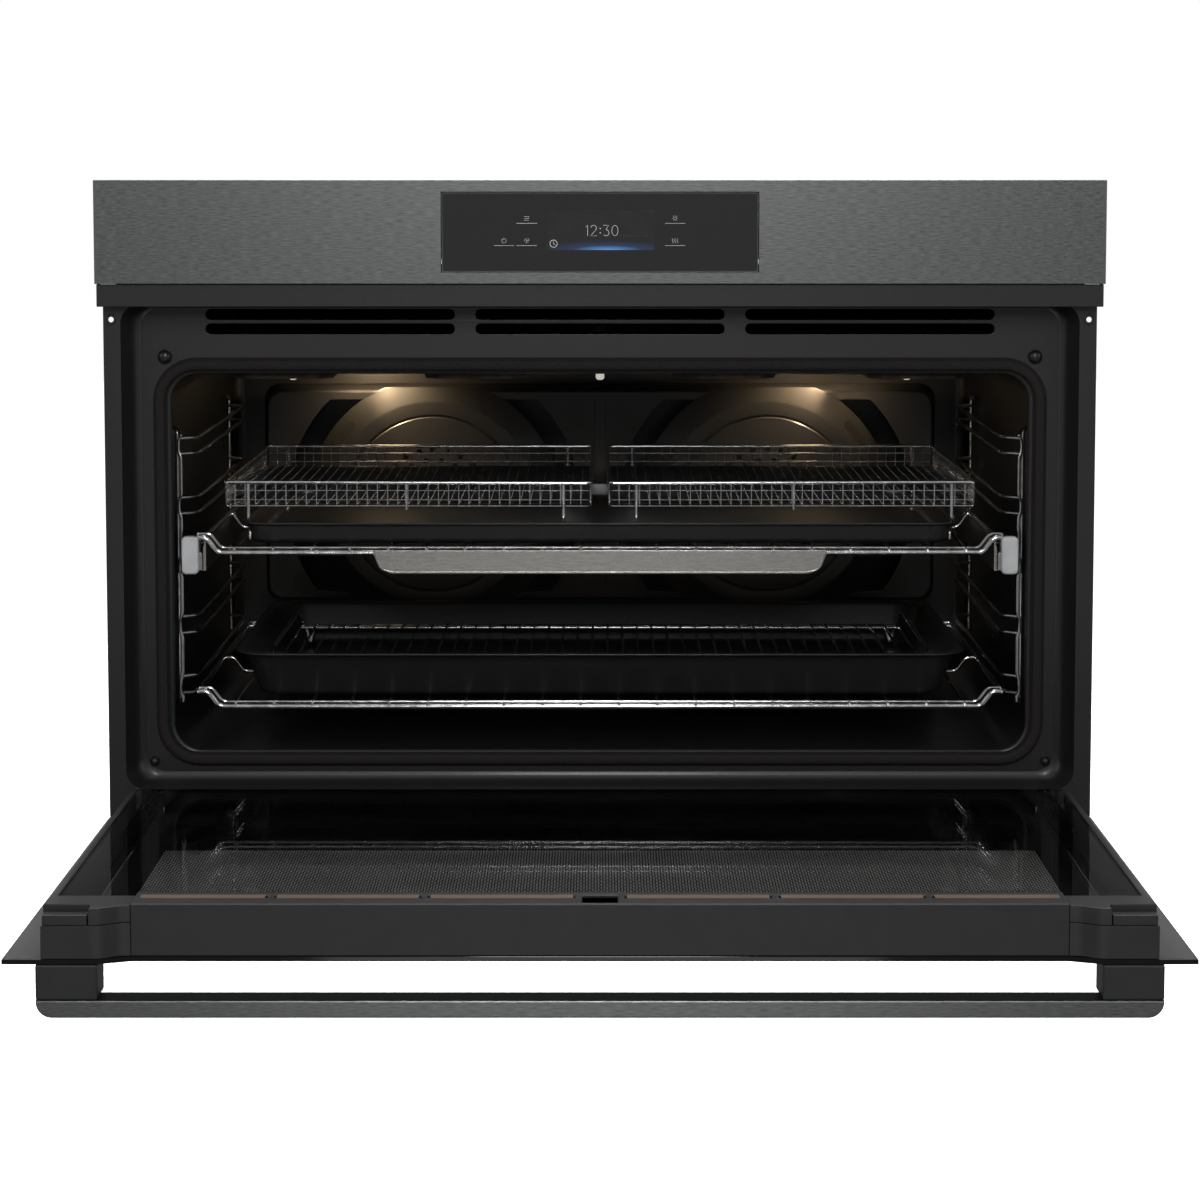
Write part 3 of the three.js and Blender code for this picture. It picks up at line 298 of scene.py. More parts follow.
# Finishes by slot, then those of single pieces that share their slot with others.
SCREEN_COLOR = (0.046, 0.046, 0.047)
FINISHES = {
    "dark_steel": brushed("dark_steel", (0.138, 0.144, 0.141), (0.226, 0.234, 0.231), 0.36),
    "stainless": brushed("stainless", (0.33, 0.32, 0.30), (0.43, 0.415, 0.40), 0.3),
    "chrome_wire": chromed(),
    "black_enamel": enamel("black_enamel", (0.0135, 0.0137, 0.0142), 0.42, 0.2),
    "black_glass": black_glazing("black_glass", (0.006, 0.006, 0.0065)),
    "clear_glass": clear_pane(),
    "black_plastic": plastic("black_plastic", (0.022, 0.0222, 0.0225), 0.46),
    "pale_plastic": plastic("pale_plastic", (0.66, 0.67, 0.68), 0.42),
    "gasket_braid": braided_fibre(),
    "rubber": plastic("rubber", grey(0.010), 0.32),
    "galvanised": galvanised_sheet(),
    "mineral_wool": mineral_blanket(),
    "heater_tube": heater_sheath(),
    "circuit": printed_circuit(),
    "lamp_glass": lit_lens(),
    "dots": dotted_print(),
    "screen": flecked(finish("screen_panel", grey(0), 0.1, Specular_IOR_Level=0.3), SCREEN_COLOR),
    "blue_glow": blue_glow(),
    "touch_glass": black_glazing("touch_glass", (0.042, 0.042, 0.0425)),
    # Matt black: real print on the door glass, and painted shade on the parts that lie in shade.
    "print_and_shade_black": plastic("black_print_and_painted_shade", grey(0.004), 0.9, 0.0),
    # Near-black for sheets that stand for the shade in a groove and on the fan cover: painted shade.
    "painted_shade": flecked(finish("painted_shade_black", grey(0), 0.8), grey(0.003)),
    "glass_edge": flecked(finish("glass_edge", grey(0), 0.4, 0.6), grey(0.12)),
    "white_mark": glowing("printed_mark", grey(0.75), 0.3),
    # Painted highlight: a faint glow for the clips under the ceiling.
    "painted_clip_glint": glowing("painted_clip_glint", (0.8, 0.76, 0.68), 0.55),
    # Painted light: a warm glow for the insides of the door cap's slots.
    "painted_warm_glow": glowing("painted_warm_glow", (0.10, 0.065, 0.045), 0.55),
}


# ---- outlines, as lists of (u, v) running counter-clockwise ----
def arc(cu, cv, radius, start, end, steps):
    """Points on a circle from start to end degrees."""
    angles = [math.radians(start + (end - start) * i / steps) for i in range(steps + 1)]
    return [(cu + radius * math.cos(a), cv + radius * math.sin(a)) for a in angles]


def rounded(u0, u1, v0, v1, radius, steps=8):
    """A rectangle with round corners."""
    corners = ((u1 - radius, v0 + radius, -90), (u1 - radius, v1 - radius, 0),
               (u0 + radius, v1 - radius, 90), (u0 + radius, v0 + radius, 180))
    return [point for cu, cv, turn in corners for point in arc(cu, cv, radius, turn, turn + 90, steps)]


def framed(lo, hi, draw, radius, steps=8):
    """The outline of a box seen from the front, drawn in by draw."""
    return rounded(lo.x + draw, hi.x - draw, lo.z + draw, hi.z - draw, radius, steps)


def at_depth(outline, y):
    """An outline seen from the front, stood up at a depth."""
    return [(u, y, v) for u, v in outline]


def circle(cu, cv, radius, steps):
    return arc(cu, cv, radius, 0, 360, steps)[:-1]


def filleted(points, radius, steps=4, closed=False):
    """A path of 2-D or 3-D points with each corner rounded off."""
    points = [Vector(p) for p in points]
    count = len(points)
    result = [] if closed else [points[0]]
    for i in range(count) if closed else range(1, count - 1):
        before, corner, after = points[i - 1], points[i], points[(i + 1) % count]
        back, ahead = before - corner, after - corner
        reach = min(radius, 0.45 * back.length, 0.45 * ahead.length)
        p0, p2 = corner + back.normalized() * reach, corner + ahead.normalized() * reach
        for k in range(steps + 1):
            t = k / steps
            result.append(p0 * (1 - t) ** 2 + corner * (2 * t * (1 - t)) + p2 * t ** 2)
    return result if closed else result + [points[-1]]


def inset(loop, amount):
    """A closed outline moved to its left: inwards where it runs counter-clockwise."""
    loop = [Vector(p[:2]) for p in loop]
    moved = []
    for i, here in enumerate(loop):
        arriving = (here - loop[i - 1]).normalized()
        leaving = (loop[(i + 1) % len(loop)] - here).normalized()
        normal = Vector((-arriving.y - leaving.y, arriving.x + leaving.x))
        moved.append(here + normal * (2 * amount / max(normal.length_squared, 1)))
    return moved


# Where the point (u, v) of a plate's outline lies at depth w.
def facing(u, v, w):
    return (u, w, v)


def lying(u, v, w):
    return (u, v, w)


def sideways(u, v, w):
    return (w, u, v)


# How a rounded edge runs: depth into the plate, and how far the outline is drawn in.
EDGE = ((0, 1), (0.3, 0.3), (1, 0))


# ---- solids ----
class Solid:
    """Closed shapes in drawing millimetres, gathered into one mesh."""

    def __init__(self):
        self.verts = []
        self.faces = []

    def loft(self, loops, ring=False, capped=True):
        """A skin over loops of equally many points, and the index of its first point."""
        start, count, rows = len(self.verts), len(loops[0]), len(loops)
        self.verts.extend(tuple(p) for loop in loops for p in loop)
        for i in range(rows if ring else rows - 1):
            a, b = start + i * count, start + (i + 1) % rows * count
            for j in range(count):
                k = (j + 1) % count
                self.faces.append((a + j, a + k, b + k, b + j))
        if capped and not ring:
            last = start + (rows - 1) * count
            self.faces.append(tuple(range(start + count - 1, start - 1, -1)))
            self.faces.append(tuple(range(last, last + count)))
        return start

    def plate(self, outline, near, far, holes=(), edge=0.4, put=facing):
        """A plate between two depths, with through holes and rounded edges."""
        rings = [(near + d * edge, i * edge) for d, i in EDGE]
        rings += [(far - d * edge, i * edge) for d, i in reversed(EDGE)]
        ends = ([], [])
        for loop in [list(outline)] + [list(reversed(hole)) for hole in holes]:
            levels = [[put(u, v, w) for u, v in inset(loop, draw)] for w, draw in rings]
            start = self.loft(levels, capped=False)
            last = start + (len(levels) - 1) * len(loop)
            ends[0].append(range(start, start + len(loop)))
            ends[1].append(range(last, last + len(loop)))
        for runs in ends:
            flat = [[Vector(self.verts[i]) for i in run] for run in runs]
            order = [i for run in runs for i in run]
            self.faces += [tuple(order[i] for i in face) for face in tessellate_polygon(flat)]
        return self

    def lathe(self, profile, centre, steps, axis="Y"):
        """A profile of (radius, along) turned about an axis through centre."""
        loops = []
        for radius, along in profile:
            loop = []
            for u, v in circle(0, 0, max(radius, 0.01), steps):
                point = {"X": (along, u, v), "Y": (u, along, v), "Z": (u, v, along)}[axis]
                loop.append(tuple(a + b for a, b in zip(point, centre)))
            loops.append(loop)
        self.loft(loops)
        return self

    def tube(self, path, radius, sides=8, closed=False):
        """A round wire along a path of points."""
        path = [Vector(p) for p in path]
        path = [p for i, p in enumerate(path) if i == 0 or (p - path[i - 1]).length > 1e-4]
        loops, normal = [], None
        for i, here in enumerate(path):
            if closed:
                ahead, behind = path[(i + 1) % len(path)], path[i - 1]
            else:
                ahead, behind = path[min(i + 1, len(path) - 1)], path[max(i - 1, 0)]
            along = (ahead - behind).normalized()
            if normal is None:
                normal = along.orthogonal()
            normal = (normal - along * normal.dot(along)).normalized()
            side = along.cross(normal)
            turns = [2 * math.pi * (k + 0.5) / sides for k in range(sides)]
            loops.append([here + (normal * math.cos(a) + side * math.sin(a)) * radius for a in turns])
        self.loft(loops, ring=closed)
        return self

    def mirrored(self):
        """Adds a copy on the other side of the oven's middle."""
        count = len(self.verts)
        self.verts += [(-x, y, z) for x, y, z in self.verts]
        self.faces += [tuple(count + i for i in reversed(face)) for face in self.faces]
        return self

    def done(self, name, slot, body, replaced=(), place=OVEN, skin=None, sharp=40):
        """Makes the piece: its finish, picked by slot unless a skin is given, the body it rides on, and
        hides the CAD nodes it stands for.
        """
        mesh = bpy.data.meshes.new(name)
        mesh.from_pydata(self.verts, [], self.faces)
        mesh.transform(place)
        work = bmesh.new()
        work.from_mesh(mesh)
        bmesh.ops.recalc_face_normals(work, faces=work.faces)
        work.to_mesh(mesh)
        work.free()
        mesh.shade_smooth()
        mesh.set_sharp_from_angle(angle=math.radians(sharp))
        mesh.materials.append(FINISHES[skin or slot])
        obj = bpy.data.objects.new(name, mesh)
        bpy.context.scene.collection.objects.link(obj)
        shading = obj.modifiers.new("weighted_normals", "WEIGHTED_NORMAL")
        shading.keep_sharp = True
        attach(obj, body)
        if replaced:
            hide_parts(*replaced)


def left_and_right(name, draw, slot, body, stands_for=None, place=OVEN):
    """One piece on each side. draw fills a Solid for the right-hand one."""
    for side, flip in (("right", 1), ("left", -1)):
        solid = Solid()
        draw(solid)
        solid.verts = [(flip * x, y, z) for x, y, z in solid.verts]
        replaced = [f"{stands_for}_{side}"] if stands_for else ()
        solid.done(f"{name}_{side}", slot, body.format(side=side), replaced, place)


def dress(node, material, edge_width):
    """Gives a CAD node that stays its material and rounded edges."""
    obj = frame["nodes"][node]
    obj.data.materials.clear()
    obj.data.materials.append(material)
    weld = obj.modifiers.new("weld", "WELD")
    weld.merge_threshold = 0.01 * MM
    flat = obj.modifiers.new("flat_faces", "DECIMATE")
    flat.decimate_type = "DISSOLVE"
    flat.angle_limit = math.radians(1.5)
    if edge_width:
        bevel = obj.modifiers.new("rounded_edges", "BEVEL")
        bevel.width = edge_width * MM
        bevel.segments = 2
        bevel.limit_method = "ANGLE"
        bevel.angle_limit = math.radians(50)
        bevel.use_clamp_overlap = True
    smooth = obj.modifiers.new("weighted_normals", "WEIGHTED_NORMAL")
    smooth.keep_sharp = True


# ---- CAD nodes that stay: finish, width of their rounded edges, names ----
def both(name):
    return [f"{name}_left", f"{name}_right"]


KEPT = (
    ("dark_steel", 0.7, ["control_fascia"]),
    ("touch_glass", 0.3, ["display_glass"]),
    ("black_glass", 0.5, ["outer_glass"]),
    ("clear_glass", 0.4, ["middle_glass"]),
    ("clear_glass", 0.5, ["inner_glass"]),
    ("black_enamel", 0.6, ["lower_trim"]),
    ("black_plastic", 0.8, ["door_top_cap", "terminal_block"]),
    ("black_plastic", 0.5, both("door_side_profile")),
    ("black_plastic", 1.5, both("handle_post")),
    ("stainless", 0.3, both("runner_rail")),
    ("galvanised", 0.4, ["casing_wrap", "casing_base", "casing_rear"]),
    ("galvanised", 0.2, both("convection_fan")),
    ("galvanised", 0.5, both("fan_motor")),
    ("mineral_wool", 2, ["insulation"]),
    ("heater_tube", 0, [*both("ring_element"), "grill_element", "bottom_element"]),
    ("circuit", 0.3, ["control_board"]),
    ("lamp_glass", 0.8, both("oven_lamp")),
    # The rest are seen only through slots or inside the door, where they lie in shade, and are blackened
    # there: painted shade over their own finish.
    ("print_and_shade_black", 0.1, ["blower_impeller"]),
    ("print_and_shade_black", 0.3, ["door_bottom_rail"]),
    ("print_and_shade_black", 0.4, ["cooling_duct", *both("hinge_arm"), *both("hinge_cassette")]),
    ("print_and_shade_black", 0.5, ["latch_bolt"]),
)
for kept_finish, kept_width, kept_nodes in KEPT:
    for kept_node in kept_nodes:
        dress(kept_node, FINISHES[kept_finish], kept_width)

# ---- front frame ----
FRAME_SHEET = 1.5
FLOOR_Y = 48
# Depth, half width, bottom and top of the recess, from its mouth to the edge of its floor.
RECESS = (
    (22, 428.4, 47.5, 488), (30, 426.1, 48.7, 487.4), (38, 424, 49.9, 486.8), (43, 421.8, 51.6, 486.2),
    (46, 419.3, 54.2, 485.4), (47.5, 416.8, 56.8, 484.6), (FLOOR_Y, 414, 59.5, 483.6),
)
# The cabinet screws' place in the flange, on both sides.
SCREW_X, SCREW_Z = 436.8, 473.7


def mouth_loop(grow, depth):
    """The outline of the cavity's mouth, widened by grow."""
    half, bottom, top, corner = 387.6, 79.2, 423.1, 25
    return at_depth(rounded(-half - grow, half + grow, bottom - grow, top + grow, corner + grow, 12), depth)


def seen_flat(loop):
    return [(x, z) for x, y, z in loop]


def front_frame():
    """The flange, the recess for the door, its floor with the air slots, and the turned lip."""
    lo, hi = cad("front_frame")
    inner = [at_depth(rounded(-half, half, low, high, 18, 10), y) for y, half, low, high in RECESS]
    outer = [[(x, y + FRAME_SHEET, z) for x, y, z in loop] for loop in reversed(inner)]
    screws = [circle(side * SCREW_X, SCREW_Z, 2.4, 20) for side in (-1, 1)]
    hooks = [rounded(left, right, 24, 45, 1.5, 3) for left, right in ((-415, -391), (391, 415))]
    flange = framed(lo, hi, 0, 2, 3)
    solid = Solid()
    solid.plate(flange, lo.y, lo.y + FRAME_SHEET, [seen_flat(inner[0]), *hooks, *screws], 0.3)
    solid.loft(inner + outer, ring=True)
    vents = []
    half_slot = 4.9
    for z in (463.99, 477):
        for low, high in ((-356, -131), (-112.4, 112.4), (131, 356)):
            vents.append(rounded(low, high, z - half_slot, z + half_slot, half_slot - 0.1, 8))
    lip = 2.6
    holes = [seen_flat(mouth_loop(lip, 0)), *vents]
    solid.plate(seen_flat(inner[-1]), FLOOR_Y, FLOOR_Y + FRAME_SHEET, holes, 0.35)
    roll = ((lip, 0), (1.3, 0.35), (0.4, 1.3), (0, 2.8), (0, 6), (1.4, 6), (1.4, 3), (lip, 1.5))
    solid.loft([mouth_loop(grow, FLOOR_Y + deep) for grow, deep in roll], ring=True)
    solid.done("front_frame_pressing", "black_enamel", "oven_body", ["front_frame"])


def frame_screws():
    """Countersunk rings round the fixing holes in the flange."""
    solid = Solid()
    profile = ((5.2, 21.8), (4.8, 21.6), (2.6, 23.2), (2.4, 23.4), (5.2, 23.4))
    for side in (-1, 1):
        rings = [at_depth(circle(side * SCREW_X, SCREW_Z, radius, 28), y) for radius, y in profile]
        solid.loft(rings, ring=True)
    solid.done("flange_countersinks", "black_enamel", "oven_body")


def gasket():
    """A braided rope laid round the cavity's mouth, over a black ring of painted shade for its groove, with
    its pressed joint.
    """
    lo, hi = cad("door_gasket")
    width, thick, pitch, step, sides = 4.7, 2.9, 9.0, 1.6, 16
    path = [Vector(p) for p in framed(lo, hi, 5, 33, 24)]
    points = []
    for i, here in enumerate(path):
        ahead = path[(i + 1) % len(path)]
        pieces = max(1, round((ahead - here).length / step))
        points += [here.lerp(ahead, k / pieces) for k in range(pieces)]
    centre = (lo.y + hi.y) / 2 + 0.1
    loops, along = [], 0.0
    for i, here in enumerate(points):
        tangent = (points[(i + 1) % len(points)] - points[i - 1]).normalized()
        normal = Vector((-tangent.y, tangent.x))
        braid = 2 * math.pi * along / pitch
        loop = []
        for k in range(sides):
            turn = 2 * math.pi * k / sides
            weave = max(math.cos(braid + 2 * turn), math.cos(braid - 2 * turn))
            swell = 0.93 + 0.07 * weave
            out = normal * math.cos(turn) * width * swell
            loop.append((here.x + out.x, centre + math.sin(turn) * thick * swell, here.y + out.y))
        loops.append(loop)
        along += (points[(i + 1) % len(points)] - here).length
    rope = Solid()
    rope.loft(loops, ring=True)
    rope.done("braided_gasket", "gasket_braid", "oven_body", ["door_gasket"], sharp=70)
    # Painted shade: a thin black ring under the rope stands for the dark of its groove.
    outer, inner = (framed(lo, hi, draw, 38 - draw, 24) for draw in (-1.6, 11.6))
    groove = Solid().plate(outer, FLOOR_Y - 0.25, FLOOR_Y + 0.2, [inner], 0.05)
    groove.done("gasket_groove_painted_shade", "gasket_braid", "oven_body", skin="painted_shade")
    joint_y, flatness = centre - 0.2, 0.85
    joint = Solid().tube([(x, joint_y, lo.z + 5) for x in (-3.2, -2.6, 2.6, 3.2)], 3.6, 12)
    joint.verts = [(x, joint_y + (y - joint_y) * flatness, z) for x, y, z in joint.verts]
    joint.done("gasket_joint", "gasket_braid", "oven_body", sharp=70)


def bumpers():
    """Rubber domes on a low foot, two large and two small."""
    foot, steps = 1.8, 8
    for level, radius in (("upper", 6.4), ("lower", 4.35)):
        lo, hi = cad(f"{level}_bumper_right")
        centre = ((lo.x + hi.x) / 2, 0, (lo.z + hi.z) / 2)
        rise = hi.y - lo.y - foot
        turns = [i * math.pi / 2 / steps for i in range(steps + 1)]
        dome = [(radius * math.cos(a), hi.y - foot - rise * math.sin(a)) for a in turns]
        profile = [(radius, hi.y), (radius, hi.y - 1.2), (radius * 0.96, hi.y - 1.5), *dome]
        left_and_right(f"{level}_door_bumper", lambda solid: solid.lathe(profile, centre, 32),
                       "rubber", "oven_body", f"{level}_bumper")


# ---- display ----
GLASS_LO, GLASS_HI = cad("display_glass")
INK_Y = GLASS_LO.y - 0.12


def display_layers():
    """The screen, the glow along its bottom and the bright edge of the touch glass."""
    face = GLASS_LO.y
    screen = Solid().plate(rounded(-46.9, 48.3, 536.2, 570.9, 0.6, 3), face - 0.06, face + 0.1, edge=0.02)
    screen.done("display_panel", "black_glass", "oven_body", skin="screen")
    glow = Solid().plate(rounded(-46.6, 48, 536.4, 549, 0.5, 3), face - 0.10, face - 0.03, edge=0.02)
    glow.done("display_blue_line", "black_glass", "oven_body", skin="blue_glow")
    outer, inner = (framed(GLASS_LO, GLASS_HI, draw, 1.6, 4) for draw in (0.1, 0.7))
    border = Solid().plate(outer, INK_Y, face + 0.05, [inner], 0.03)
    border.done("display_border", "stainless", "oven_body", skin="glass_edge")


def stroke(marks, points, radius, closed=False):
    """A thin line printed on the touch glass."""
    marks.tube(at_depth(points, INK_Y), radius, 6, closed)


def clock_digits(marks):
    """A generic time, in thin round digits."""
    line = 0.2
    high, low, half = 558.2, 548.9, 553.5
    bowl = 2.5
    stroke(marks, [(-12.6, high - 1.6), (-10.9, high), (-10.9, low)], line)
    stroke(marks, [*arc(-5.6, high - bowl, bowl, 165, -35, 10), (-8.3, low), (-2.9, low)], line)
    dot = [(0.0, INK_Y - 0.3), (0.5, INK_Y - 0.3), (0.5, INK_Y + 0.3), (0.0, INK_Y + 0.3)]
    for v in (half - 1.9, half + 1.9):
        marks.lathe(dot, (0.2, 0, v), 10)
    hook = arc(5.2, half - 1.9, 2.7, 75, -140, 10)
    stroke(marks, [(3.0, high), (7.6, high), (5.2, half + 0.9), *hook], line)
    turns = (2 * math.pi * i / 24 for i in range(24))
    stroke(marks, [(13.2 + 2.7 * math.cos(a), half + 4.6 * math.sin(a)) for a in turns], line, True)


def key_signs(marks):
    """A clock, the lines of the five keys, and a plain sign above each line."""
    upper, lower = 559.9, 540.3
    fine = 0.13
    clock = (-41, 542)
    stroke(marks, circle(*clock, 3.2, 24), 0.25, True)
    stroke(marks, [(clock[0], 544.2), clock, (-39.4, 541)], 0.22)
    keys = ((-73.9, -55.6, upper), (-93.8, -75.8, lower), (-73.6, -55.6, lower),
            (57.4, 75.3, upper), (57.4, 75.3, lower))
    for left, right, line in keys:
        stroke(marks, [(left, line), (right, line)], 0.15)
    # Three bars of a list.
    for v in (562.6, 564.2, 565.8):
        stroke(marks, [(-66.9, v), (-62.7, v)], fine)
    # On and off: an open ring with a stroke.
    stroke(marks, arc(-84.8, 544.6, 2.0, 120, 420, 16), fine)
    stroke(marks, [(-84.8, 547.2), (-84.8, 544.8)], fine)
    # A fan of three blades.
    hub = (-64.6, 544.8)
    for k in range(3):
        stroke(marks, [hub, *arc(*hub, 2.0, 120 * k, 120 * k + 75, 5)], 0.12)
    # A lamp with eight rays.
    lamp = (66.3, 564.4)
    stroke(marks, circle(*lamp, 1.2, 14), fine, True)
    for k in range(8):
        turn = math.radians(45 * k)
        ray = [(lamp[0] + r * math.cos(turn), lamp[1] + r * math.sin(turn)) for r in (1.9, 2.6)]
        stroke(marks, ray, 0.11)
    # Three waves of heat.
    rises = [0.4 * i for i in range(11)]
    for u in (64.2, 66.3, 68.4):
        stroke(marks, [(u + 0.5 * math.sin(v * 1.9), 542.6 + v) for v in rises], 0.12)


def display():
    display_layers()
    marks = Solid()
    clock_digits(marks)
    key_signs(marks)
    marks.done("display_signs", "black_glass", "oven_body", skin="white_mark")


# ---- cavity ----
def cavity_walls():
    """The liner's five walls, with a rounded turn into the back wall."""
    lo, hi = cad("cavity_liner")
    sheet, corner, back_turn = 2, 26, 12
    half, low, high, back = hi.x - sheet, lo.z + sheet, hi.z - sheet, hi.y - sheet
    turns = [math.pi / 2 * i / 5 for i in range(6)]
    # Depth, and how far the outline is drawn in there.
    ends = [(lo.y, 0)]
    ends += [(back - back_turn + back_turn * math.sin(a), back_turn * (1 - math.cos(a))) for a in turns]

    def ring(y, draw, grow):
        wide = half - draw + grow
        shape = rounded(-wide, wide, low + draw - grow, high - draw + grow, corner + grow - draw * 0.6, 10)
        return at_depth(shape, y)

    inside = [ring(y, draw, 0) for y, draw in reversed(ends)]
    outside = [ring(y, 0, sheet) for y in (lo.y, hi.y)]
    solid = Solid()
    solid.loft(inside + outside)
    solid.done("cavity_walls", "black_enamel", "oven_body", ["cavity_liner"])


FAN_X, FAN_Z = 174.5, 257.7
# Radii round each fan: the raised ring's inner and outer edge, and the end of the air slots.
RING_IN, RING_OUT, SLOT_OUT = 107, 131.5, 154
PANEL_RISE = 6.5
COVER_LO, COVER_HI = cad("fan_cover")
COVER_Y = COVER_LO.y + 3
COVER_SHEET = 1.2


def fan_opening(side):
    """The hole round one fan: the raised ring, widened by the air slots at its sides."""
    step, slot_start = 3, 84
    top, low = COVER_HI.z - FAN_Z, COVER_LO.z - FAN_Z
    open_top, open_low = 367 - FAN_Z, low + 14
    hole = []
    for degree in range(0, 360, step):
        u, v = math.cos(math.radians(degree)), math.sin(math.radians(degree))
        wide = open_low < SLOT_OUT * v < open_top
        radius = SLOT_OUT if wide else RING_OUT
        u, v = radius * u, radius * v
        if not wide and open_low < v < open_top:
            v = open_top if v > 0 else open_low
            u = math.copysign(math.sqrt(SLOT_OUT ** 2 - v ** 2), u) if abs(u) > slot_start else u
        hole.append((side * FAN_X + u, FAN_Z + min(max(v, low + 12), top - 9)))
    return hole


def fan_grille(solid, side):
    """The raised ring, the disc with its air holes and its two screws, in front of one fan."""
    x, tip = side * FAN_X, COVER_Y - PANEL_RISE
    ring = [
        (RING_OUT + 0.5, COVER_Y + 0.4), (RING_OUT - 1, COVER_Y - 0.2), (RING_IN + 2, tip + 0.5),
        (RING_IN - 1, tip), (94.2, tip), (93.2, tip + 0.8), (93.2, tip + 2.4), (91.6, tip + 2.4),
        (91.6, tip + 0.8), (90.6, tip),
    ]
    behind = [(radius, y + 1.4) for radius, y in reversed(ring)]
    loops = []
    for radius, y in ring + behind:
        loops.append([(x + u, y, min(FAN_Z + v, COVER_HI.z - 2)) for u, v in circle(0, 0, radius, 96)])
    solid.loft(loops, ring=True)
    vents = []
    for row_radius, count in ((46, 18), (57, 24), (35, 12)):
        row = arc(x, FAN_Z, row_radius, 0, 360, count)[:-1]
        vents += [circle(u, v, 3.0, 10) for u, v in row]
    solid.plate(circle(x, FAN_Z, 90.8, 72), tip, tip + COVER_SHEET, vents, 0.25)
    head = [(3.2, tip - 0.2), (3.0, tip - 1.0), (2.2, tip - 1.6), (0, tip - 1.8)]
    for u, v in ((12, 14), (-12, -14)):
        solid.lathe(head, (x + u * side, 0, FAN_Z + v), 14)


def fan_cover():
    """The cover's face, its sloping skirt and both grilles."""
    slope = 7

    def outline(draw):
        return framed(COVER_LO, COVER_HI, draw, 16)

    solid = Solid()
    holes = [fan_opening(side) for side in (-1, 1)]
    solid.plate(outline(slope), COVER_Y, COVER_Y + COVER_SHEET, holes, 0.3)
    deep = COVER_HI.y - COVER_Y
    skirt = [(slope, 0.3), (slope - 1.2, 0.6), (slope - 2.4, 1.8), (1, deep - 1), (0, deep)]
    near = [at_depth(outline(draw), COVER_Y + y) for draw, y in skirt]
    back_y = COVER_Y + COVER_SHEET
    far = [at_depth(outline(draw + COVER_SHEET), back_y + y) for draw, y in reversed(skirt[:-1])]
    solid.loft(near + far, ring=True)
    for side in (-1, 1):
        fan_grille(solid, side)
    solid.done("fan_cover_panel", "black_enamel", "oven_body", ["fan_cover"])


def fan_cover_painted_shadows():
    """Painted shadows: a black slanted slot on each raised ring, and two dark lines down the cover's
    middle.
    """
    long, wide, middle = 16, 4.4, 119
    solid = Solid()
    for side in (-1, 1):
        tilt = math.atan2(77, side * 96)
        cos, sin = math.cos(tilt), math.sin(tilt)
        slot = rounded(-wide, wide, -long, long, wide - 0.1, 6)
        turned = [(side * FAN_X + cos * (middle + u) - sin * v, FAN_Z + sin * (middle + u) + cos * v)
                  for u, v in slot]
        # A black plate lying on the ring: painted shadow, the ring itself has no opening.
        solid.plate(turned, COVER_Y - 4.6, COVER_Y - 3.4, edge=0.1)
    for x in (-6, 6):
        line = rounded(x - 0.3, x + 0.3, COVER_LO.z + 18, COVER_HI.z - 18, 0.25, 2)
        solid.plate(line, COVER_Y - 0.15, COVER_Y + 0.2, edge=0.05)
    solid.done("fan_cover_painted_shadows", "black_enamel", "oven_body", skin="painted_shade")


def grill_clips():
    """Clips that hold the grill element under the ceiling; they glow faintly, a painted highlight."""
    top = cad("grill_element")[1].z
    clip_y, strap = 150, 12
    drop = ((0, 9.6), (2.4, 9.3), (3.8, 8), (4.1, 6.2), (3.6, 1), (0, 0))
    solid = Solid()
    for x in (-288, 0, 288):
        solid.lathe([(radius, top - below) for radius, below in drop], (x, clip_y, 0), 24, axis="Z")
        hook = [(x, clip_y, top - 1), (x, clip_y, top + 2.6), (x, clip_y - strap, top + 2.6)]
        solid.tube(filleted(hook, 2), 1.2)
    solid.done("grill_clips", "stainless", "oven_body", skin="painted_clip_glint")


# ---- racks, shelves, baskets and trays ----
# Heights of the rungs of both side racks: five levels, each of a lower and an upper wire.
RUNGS = (127, 142.8, 182.7, 198, 238.5, 253, 293.2, 307.9, 348.3, 362.6)


def side_rack(solid):
    """Two posts, the rungs between them and a kinked wire in front of the front post."""
    post, rung, mount = 386, 369.4, 389.5
    front, back = 72, 441
    low, high = 118, 372
    for y, inward in ((front, 7), (back, -7)):
        path = [(mount, y + inward, low - 1), (post, y, low + 2),
                (post, y, high - 2), (mount, y + inward, high)]
        solid.tube(filleted(path, 5), 2.1, 10)
    kink_y = front - 4.4
    inner, outer = post - 3.4, post - 1.2
    kinked = [(inner, kink_y, 120)]
    for lower, upper in zip(RUNGS[::2], RUNGS[1::2]):
        kinked += [(inner, kink_y, lower - 3), (outer, kink_y, lower + 3),
                   (outer, kink_y, upper - 3), (inner, kink_y, upper + 3)]
    kinked += [(inner, kink_y, 366), (post, front + 1, 371), (post, front + 9, 371)]
    solid.tube(filleted(kinked, 2.5, 3), 1.5, 8)
    for z in RUNGS:
        path = [(post, front, z), (rung, front + 13, z), (rung, back - 13, z), (post, back, z)]
        solid.tube(filleted(path, 7), 2, 10)


# How far out the front and rear corners of both shelves reach.
EAR = 368


def with_left(path):
    """A path over the whole width, from its right-hand half."""
    return [(-x, y, z) for x, y, z in reversed(path)] + path


